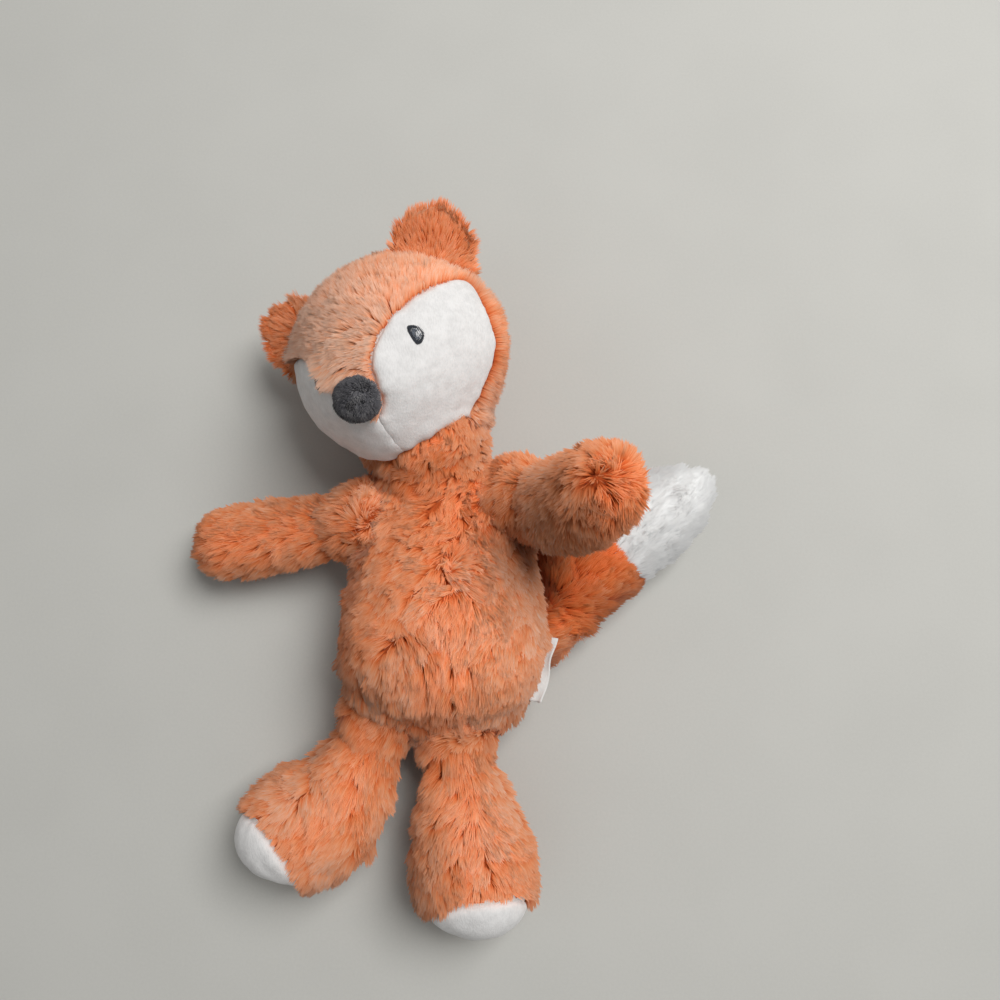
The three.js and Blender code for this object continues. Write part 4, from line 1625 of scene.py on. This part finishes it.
@dataclass
class Head:
    """Head with its blaze, velour cheeks, nose and embroidered eyes."""

    pile_mm: float = 4.3
    velour_mm: float = 2.2
    coat: Coat = field(
        default_factory=lambda: Coat(
            length_mm=6.4,
            per_mm2=7.2,
            width_mm=0.3,
            root_rise_deg=66,
            tip_rise_deg=44,
            lock_mm=3.2,
            lock_turn_deg=9,
            lock_lift_deg=4,
            tuft_mm=1.0,
            tone=0.78,
        )
    )
    nose_coat: Coat = field(
        default_factory=lambda: Coat(
            length_mm=1.8,
            per_mm2=22,
            width_mm=0.26,
            root_rise_deg=74,
            tip_rise_deg=52,
            lock_mm=2.5,
            lock_pull=0.1,
            tuft_mm=0.8,
            tuft_pull=0.2,
            lock_turn_deg=30,
            lock_lift_deg=10,
            wander_mm=8,
            tone=0.34,
            tone_spread=0.2,
        )
    )
    temple: Spot = (0.026, 0.108, 0.048)
    ear_root: Spot = (0.016, 0.119, 0.05)
    jaw: Spot = (-0.047, 0.042, 0.036)
    brow: Spot = (-0.032, 0.088, 0.083)
    ruff: Spot = (0.0245, 0.086, 0.042)
    lobe: Spot = (-0.0595, 0.076, 0.055)
    chin: Spot = (-0.021, 0.041, 0.062)
    nose_wear: Spot = (-0.032, 0.045, 0.088)

    CHEEKS = ("cheek_left", "cheek_right")

    def sew(self, shop: Workshop) -> None:
        """Sew and stuff the head, its cheeks and its nose.

        Args:
            shop: The workshop.
        """
        panels = {"head_back_panel": self.pile_mm, "blaze_panel": self.pile_mm}
        panels |= dict.fromkeys(self.CHEEKS, self.velour_mm)
        pad = Pad(
            "head_skin",
            "head",
            panels,
            ["head_filling"],
            [shop.seat("neck_turn")],
            (Swell(self.chin, 13, 3.4),),
            self.CHEEKS,
            voxel_mm=2.6,
            evening=16,
        )
        shop.stuff(pad)
        for cheek, twin, outwards in zip(self.CHEEKS, self.CHEEKS[::-1], (1, -1)):
            panel = shop.sew_velour(pad, cheek, 3.0, twin)
            eye = Embroidery(cheek.replace("cheek", "eye"), (outwards, 0.8, 0))
            eye.sew(shop, surface_of(panel))
        pad.face_white(self.CHEEKS)
        nose = Pad("nose_skin", "head", {"nose": 1.1}, voxel_mm=1.0, evening=6, puff_mm=0.4)
        shop.stuff(nose, GREY_BACKING)

    def cover(self, shop: Workshop) -> None:
        """Grow the head's fur and the plush of the nose.

        Args:
            shop: The workshop.
        """
        left, right, nose = (
            np.mean(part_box(name), axis=0) for name in ("eye_left", "eye_right", "nose")
        )
        fringe = tuple((nose + 2 * right) / 3 + (0.002, 0.005, 0.0))
        combs = [
            Comb(Lie.AWAY, tuple(left)),
            Comb(Lie.TOWARDS, tuple(right + (-0.002, -0.016, 0.0)), 2.2, 0, fringe, 12),
            Comb(Lie.ALONG, (0.1, -1, 0.1), 1.6, 0, self.lobe, 11),
        ]
        patches = [
            Patch(fringe, 9, length=0.95, lift_deg=-48, tone=0.1),
            Patch(self.ruff, 18, tone=-0.42),
            Patch(self.lobe, 11, length=0.45, lift_deg=-14),
            Patch(self.temple, 13, length=0.6, tone=-0.3),
            Patch(self.ear_root, 9, length=0.6, tone=-0.3),
            # Paler brow, where the lamp leaves the fur in shade: painted light
            Patch(self.brow, 24, tone=0.28, lift_deg=-18),
            Patch(self.jaw, 22, length=-0.45, lift_deg=-34),
        ]
        for name, panel in (("blaze_fur", "blaze_panel"), ("head_back_fur", "head_back_panel")):
            shop.cover(name, shop.pads["head_skin"], [panel], self.coat, combs, patches, self.CHEEKS)
        crown = tuple(nose + (0.007, 0.009, 0.006))
        shop.cover(
            "nose_plush",
            shop.pads["nose_skin"],
            ["nose"],
            self.nose_coat,
            [Comb(Lie.AWAY, crown, swirl_deg=30)],
            [Patch(crown, 5, lift_deg=25, ruffle=1.0), Patch(self.nose_wear, 6, tone=0.35)],
            finish=GREY_PLUSH,
            slot="nose_plush",
            buried=True,
        )


class Side(Enum):
    """A side of the toy, as the toy itself has it."""

    LEFT = "left"
    RIGHT = "right"


@dataclass
class Limb:
    """A form on one side of the toy, cut from a front and a back panel."""

    side: Side
    pile_mm: float = 4.4
    coat: Coat = field(default_factory=Coat)

    KIND = ""

    @property
    def body(self) -> str:
        """Name of its CAD body."""
        return f"{self.KIND}_{self.side.value}"

    @property
    def panels(self) -> list[str]:
        """Names of its front and its back panel."""
        return [f"{self.body}_{face}_panel" for face in ("front", "back")]

    def beside(self, panel: str) -> Sequence[str]:
        """Panels that change how the fur on one of its own lies."""
        return ()

    def grow(self, shop: Workshop, combs: list[Comb], patches: Sequence[Patch]) -> None:
        """Grow the fur of both panels.

        Args:
            shop: The workshop.
            combs: How it is combed.
            patches: Places where it differs.
        """
        for panel in self.panels:
            name = panel.replace("panel", "fur")
            pad = shop.pads[f"{self.body}_skin"]
            shop.cover(name, pad, [panel], self.coat, combs, patches, self.beside(panel))


@dataclass
class Ear(Limb):
    """One ear: two panels sewn together, cupped towards the front."""

    pile_mm: float = 2.6
    coat: Coat = field(
        default_factory=lambda: Coat(
            length_mm=6.8,
            per_mm2=7.0,
            glow=0.8,
            edge_gap_mm=1.5,
            edge_lift_deg=-12,
            edge_trim=0.55,
            root_rise_deg=44,
            tip_rise_deg=20,
            lock_mm=3.2,
            lock_turn_deg=8,
            lock_lift_deg=5,
            tuft_mm=1.1,
            wander_deg=12,
            tone=0.42,
        )
    )
    sink_mm: float = 4.0
    # A spot by the right ear's lower rim, darkened there: painted shade
    painted_shade_spot: Spot = (-0.082, 0.086, 0.018)

    KIND = "ear"

    def beside(self, panel: str) -> Sequence[str]:
        """The back's fur is trimmed beside the front panel."""
        return self.panels[:1] if panel == self.panels[1] else ()

    def sew(self, shop: Workshop) -> None:
        """Sew the ear and sink its root in the head's fur.

        Args:
            shop: The workshop.
        """
        panels = dict.fromkeys(self.panels, self.pile_mm)
        pad = Pad(f"{self.body}_skin", self.body, panels, voxel_mm=1.3, evening=6, puff_mm=0.3)
        shop.stuff(pad)
        pivot = shop.pivots[f"{self.body}_fold"]
        points = read_points(pad.piece.data)
        out = unit(points.mean(0) - pivot)
        height = (points - pivot) @ out
        sink = self.sink_mm * MM * (1 - ease(height, 0.0, 12 * MM))
        place_points(pad.piece, points - out * sink[:, None])
        pad.surface = surface_of(pad.piece)

    def cover(self, shop: Workshop) -> None:
        """Grow the ear's fur from its root to its rim.

        Args:
            shop: The workshop.
        """
        pivot = shop.pivots[f"{self.body}_fold"]
        middle = read_points(shop.pads[f"{self.body}_skin"].piece.data).mean(0)
        source = pivot - unit(middle - pivot) * 12 * MM
        # Darker by the right ear's lower rim: painted shade
        self.grow(shop, [Comb(Lie.AWAY, tuple(source))], [Patch(self.painted_shade_spot, 14, tone=-0.3)])


@dataclass
class Arm(Limb):
    """One arm."""

    coat: Coat = field(
        default_factory=lambda: Coat(
            length_mm=8.6, lock_mm=3.8, lock_pull=0.14, tuft_pull=0.12, tone=0.38, glow=0.8
        )
    )
    paw: Spot = (0.052, 0.0243, 0.111)
    upper: Spot = (0.043, 0.034, 0.07)
    middle: Spot = (0.041, 0.02, 0.066)

    KIND = "arm"

    def sew(self, shop: Workshop) -> None:
        """Sew and stuff the arm.

        Args:
            shop: The workshop.
        """
        panels = dict.fromkeys(self.panels, self.pile_mm)
        seats = [shop.seat(f"{self.body}_swing")]
        swells = (Swell(self.upper, 15, 5.0),) if self.side is Side.LEFT else ()
        pad = Pad(f"{self.body}_skin", self.body, panels, [f"{self.body}_filling"], seats, swells)
        shop.stuff(pad)

    def cover(self, shop: Workshop) -> None:
        """Grow the arm's fur: from the shoulder, or out from the raised paw's middle.

        Args:
            shop: The workshop.
        """
        pivot = shop.pivots[f"{self.body}_swing"]
        if self.side is Side.LEFT:
            combs = [
                Comb(Lie.AWAY, self.paw, swirl_deg=50),
                Comb(Lie.ALONG, (-0.5, -0.8, -0.2), 0.85, 0, self.paw, 28),
            ]
            patches = [
                Patch(self.paw, 16, tone=0.04, lift_deg=12, ruffle=2.4),
                Patch(self.middle, 20, tone=0.1),
                Patch(self.upper, 12, length=0.2, lift_deg=14),
                Patch(tuple(pivot), 26, tone=-0.1, ruffle=0.6),
            ]
        else:
            shoulder = tuple(pivot + (0.0, 0.0, 0.015))
            combs = [Comb(Lie.AWAY, tuple(pivot)), Comb(Lie.AWAY, shoulder, 0.8, 0, shoulder, 13)]
            patches = [Patch(shoulder, 14, tone=0.12), Patch(shoulder, 11, lift_deg=26, ruffle=1.8)]
        self.grow(shop, combs, patches)


@dataclass
class Leg(Limb):
    """One leg with its velour sole."""

    coat: Coat = field(
        default_factory=lambda: Coat(
            length_mm=9.6, lock_mm=5.4, edge_gap_mm=2.0, edge_lift_deg=30, edge_trim=0.35, tone=0.5
        )
    )
    velour_mm: float = 2.3

    KIND = "leg"
    SWELLS = {
        Side.RIGHT: (
            Swell((-0.08, -0.116, 0.027), 13, 4.0),
            Swell((-0.058, -0.1345, 0.022), 18, -4.5),
        ),
        Side.LEFT: (
            Swell((0.02, -0.142, 0.027), 14, 3.0),
            Swell((-0.0125, -0.089, 0.028), 13, 3.5),
            Swell((0.0235, -0.077, 0.028), 13, -4.5),
        ),
    }
    WHORL = {Side.RIGHT: (-0.061, -0.089, 0.04), Side.LEFT: (0.014, -0.1, 0.046)}
    TOE = {Side.RIGHT: (-0.07, -0.112, 0.038), Side.LEFT: (0.021, -0.131, 0.041)}

    def beside(self, panel: str) -> Sequence[str]:
        """Both panels meet the sole."""
        return [f"{self.body}_sole"]

    def sew(self, shop: Workshop) -> None:
        """Sew and stuff the leg and its sole.

        Args:
            shop: The workshop.
        """
        sole = f"{self.body}_sole"
        panels = {**dict.fromkeys(self.panels, self.pile_mm), sole: self.velour_mm}
        seats, swells = [shop.seat(f"{self.body}_swing")], self.SWELLS[self.side]
        filling = [f"{self.body}_filling"]
        pad = Pad(f"{self.body}_skin", self.body, panels, filling, seats, swells, (sole,))
        shop.stuff(pad)
        shop.sew_velour(pad, sole, 3.5)
        pad.face_white([sole])

    def cover(self, shop: Workshop) -> None:
        """Grow the leg's fur from the hip over the edge of the sole.

        Args:
            shop: The workshop.
        """
        pivot = tuple(shop.pivots[f"{self.body}_swing"])
        whorl = self.WHORL[self.side]
        combs = [Comb(Lie.AWAY, pivot), Comb(Lie.AWAY, whorl, 1.1, 0, whorl, 13)]
        patches = [
            Patch(whorl, 7, tone=0.1, lift_deg=30),
            # Darker at the hip, where the leg meets the belly: painted shade
            Patch(pivot, 20, tone=-0.2),
            Patch(self.TOE[self.side], 15, length=-0.5),
        ]
        self.grow(shop, combs, patches)


@dataclass
class Tail:
    """Tail with its white tip."""

    pile_mm: float = 4.4
    coat: Coat = field(
        default_factory=lambda: Coat(
            length_mm=8.8,
            lock_mm=3.4,
            lock_turn_deg=12,
            wander_deg=18,
            edge_lift_deg=14,
            edge_trim=0.5,
            # A low tone makes the whole tail deeper and darker: painted shadow of the raised arm
            tone=0.1,
        )
    )
    tip_glow: float = 0.85
    tip_tone: float = 0.5
    lower: Spot = (0.053, -0.028, 0.016)
    upper: Spot = (0.041, -0.004, 0.02)

    def sew(self, shop: Workshop) -> None:
        """Sew and stuff the tail.

        Args:
            shop: The workshop.
        """
        panels = {"tail_cover": self.pile_mm, "tail_tip_cover": self.pile_mm}
        pad = Pad("tail_skin", "tail", panels, ["tail_filling"], [shop.seat("tail_swing")])
        shop.stuff(pad).face_white(["tail_tip_cover"])

    def cover(self, shop: Workshop) -> None:
        """Grow the tail's fur from root to tip.

        Args:
            shop: The workshop.
        """
        pad, tip = shop.pads["tail_skin"], ["tail_tip_cover"]
        combs = [
            Comb(Lie.AWAY, tuple(shop.pivots["tail_swing"])),
            Comb(Lie.ALONG, (0.3, -1, 0), 1.6, 0, self.lower, 11),
            Comb(Lie.ALONG, (0, 1, 0), 1.6, 0, self.upper, 9),
        ]
        fuller = [Patch(self.lower, 11, length=0.9), Patch(self.upper, 11, length=1.1)]
        shop.cover("tail_fur", pad, ["tail_cover"], self.coat, combs, fuller, tip)
        paler = [Patch(tuple(read_points(pad.piece.data).mean(axis=0)), 200, tone=self.tip_tone)]
        coat = replace(self.coat, glow=self.tip_glow)
        shop.cover("tail_tip_fur", pad, tip, coat, combs, paler, finish=WHITE_FUR, slot="white_fur")


@dataclass
class Studio:
    """Camera, floor and lamps."""

    focal_px: float = 800.0
    frame_px: float = 1000.0
    tilt_deg: float = 8.0
    distance: float = 0.37
    aim: Spot = (0.0234, 0.03, 0.0)

    def build(self) -> None:
        """Set up the camera, the floor, the lamps and the world."""
        scene = bpy.context.scene
        tilt = math.radians(self.tilt_deg)
        back = Vector((0, -math.sin(tilt), math.cos(tilt)))
        camera = new_object("camera", bpy.data.cameras.new("camera"))
        camera.data.sensor_width = 36.0
        camera.data.lens = self.focal_px / self.frame_px * camera.data.sensor_width
        camera.data.clip_start, camera.data.clip_end = 0.01, 20.0
        camera.location = Vector(self.aim) + back * self.distance
        camera.rotation_euler = (tilt, 0, 0)
        scene.camera = camera
        scene.view_settings.view_transform = "Standard"
        deselect()
        bpy.ops.mesh.primitive_plane_add(size=8)
        floor = bpy.context.object
        floor.name = "floor"
        floor.data.materials.append(FLOOR_PAPER.material())
        self._lamp("window", (0.6, 0.48, 1.24), 0.8, 17.0)
        self._lamp("fill", (-0.9, -0.5, 1.2), 1.4, 0.6)
        world = bpy.data.worlds.new("studio")
        scene.world = world
        world.use_nodes = True
        world.node_tree.nodes["Background"].inputs["Color"].default_value = (1, 1, 1, 1)
        world.node_tree.nodes["Background"].inputs["Strength"].default_value = 0.2

    def _lamp(self, name: str, place: Spot, size: float, power: float) -> None:
        """Add a square soft lamp that faces the toy.

        Args:
            name: Name of the lamp.
            place: Where it stands, in metres.
            size: Length of its sides, in metres.
            power: Its power, in watts.
        """
        lamp = new_object(name, bpy.data.lights.new(name, "AREA"))
        lamp.data.size = size
        lamp.data.energy = power
        lamp.location = place
        lamp.rotation_euler = (-Vector(place)).to_track_quat("-Z", "Y").to_euler()


def corners(box: tuple[Vector, Vector]) -> list[list[float]]:
    """Turn a box into plain lists of numbers."""
    return [[float(value) for value in corner] for corner in box]


def main() -> None:
    """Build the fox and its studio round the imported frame."""
    logging.basicConfig(level=logging.INFO, format="%(name)s: %(message)s")
    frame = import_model()
    pivots = {joint["name"]: np.array(joint["pos_m"]) for joint in frame["joints"]}
    shop = Workshop(frame["nodes"], pivots, Furrier(seed=7))
    for name, node in frame["nodes"].items():
        node.data.materials.clear()
        finish = FILLING if name.endswith("_filling") else FUR_BACKING
        node.data.materials.append(finish.material())
    Studio().build()
    limbs = [kind(side) for side in Side for kind in (Ear, Arm, Leg)]
    parts = [Torso(), Head(), *limbs, Tail()]
    for part in parts:
        part.sew(shop)
    for part in parts:
        part.cover(shop)
    meshes = [one.data for one in bpy.context.scene.objects if one.type == "MESH" and not one.hide_render]
    LOG.info("%d triangles in all", sum(len(read_triangles(mesh)) for mesh in meshes))


if __name__ == "__main__":
    main()
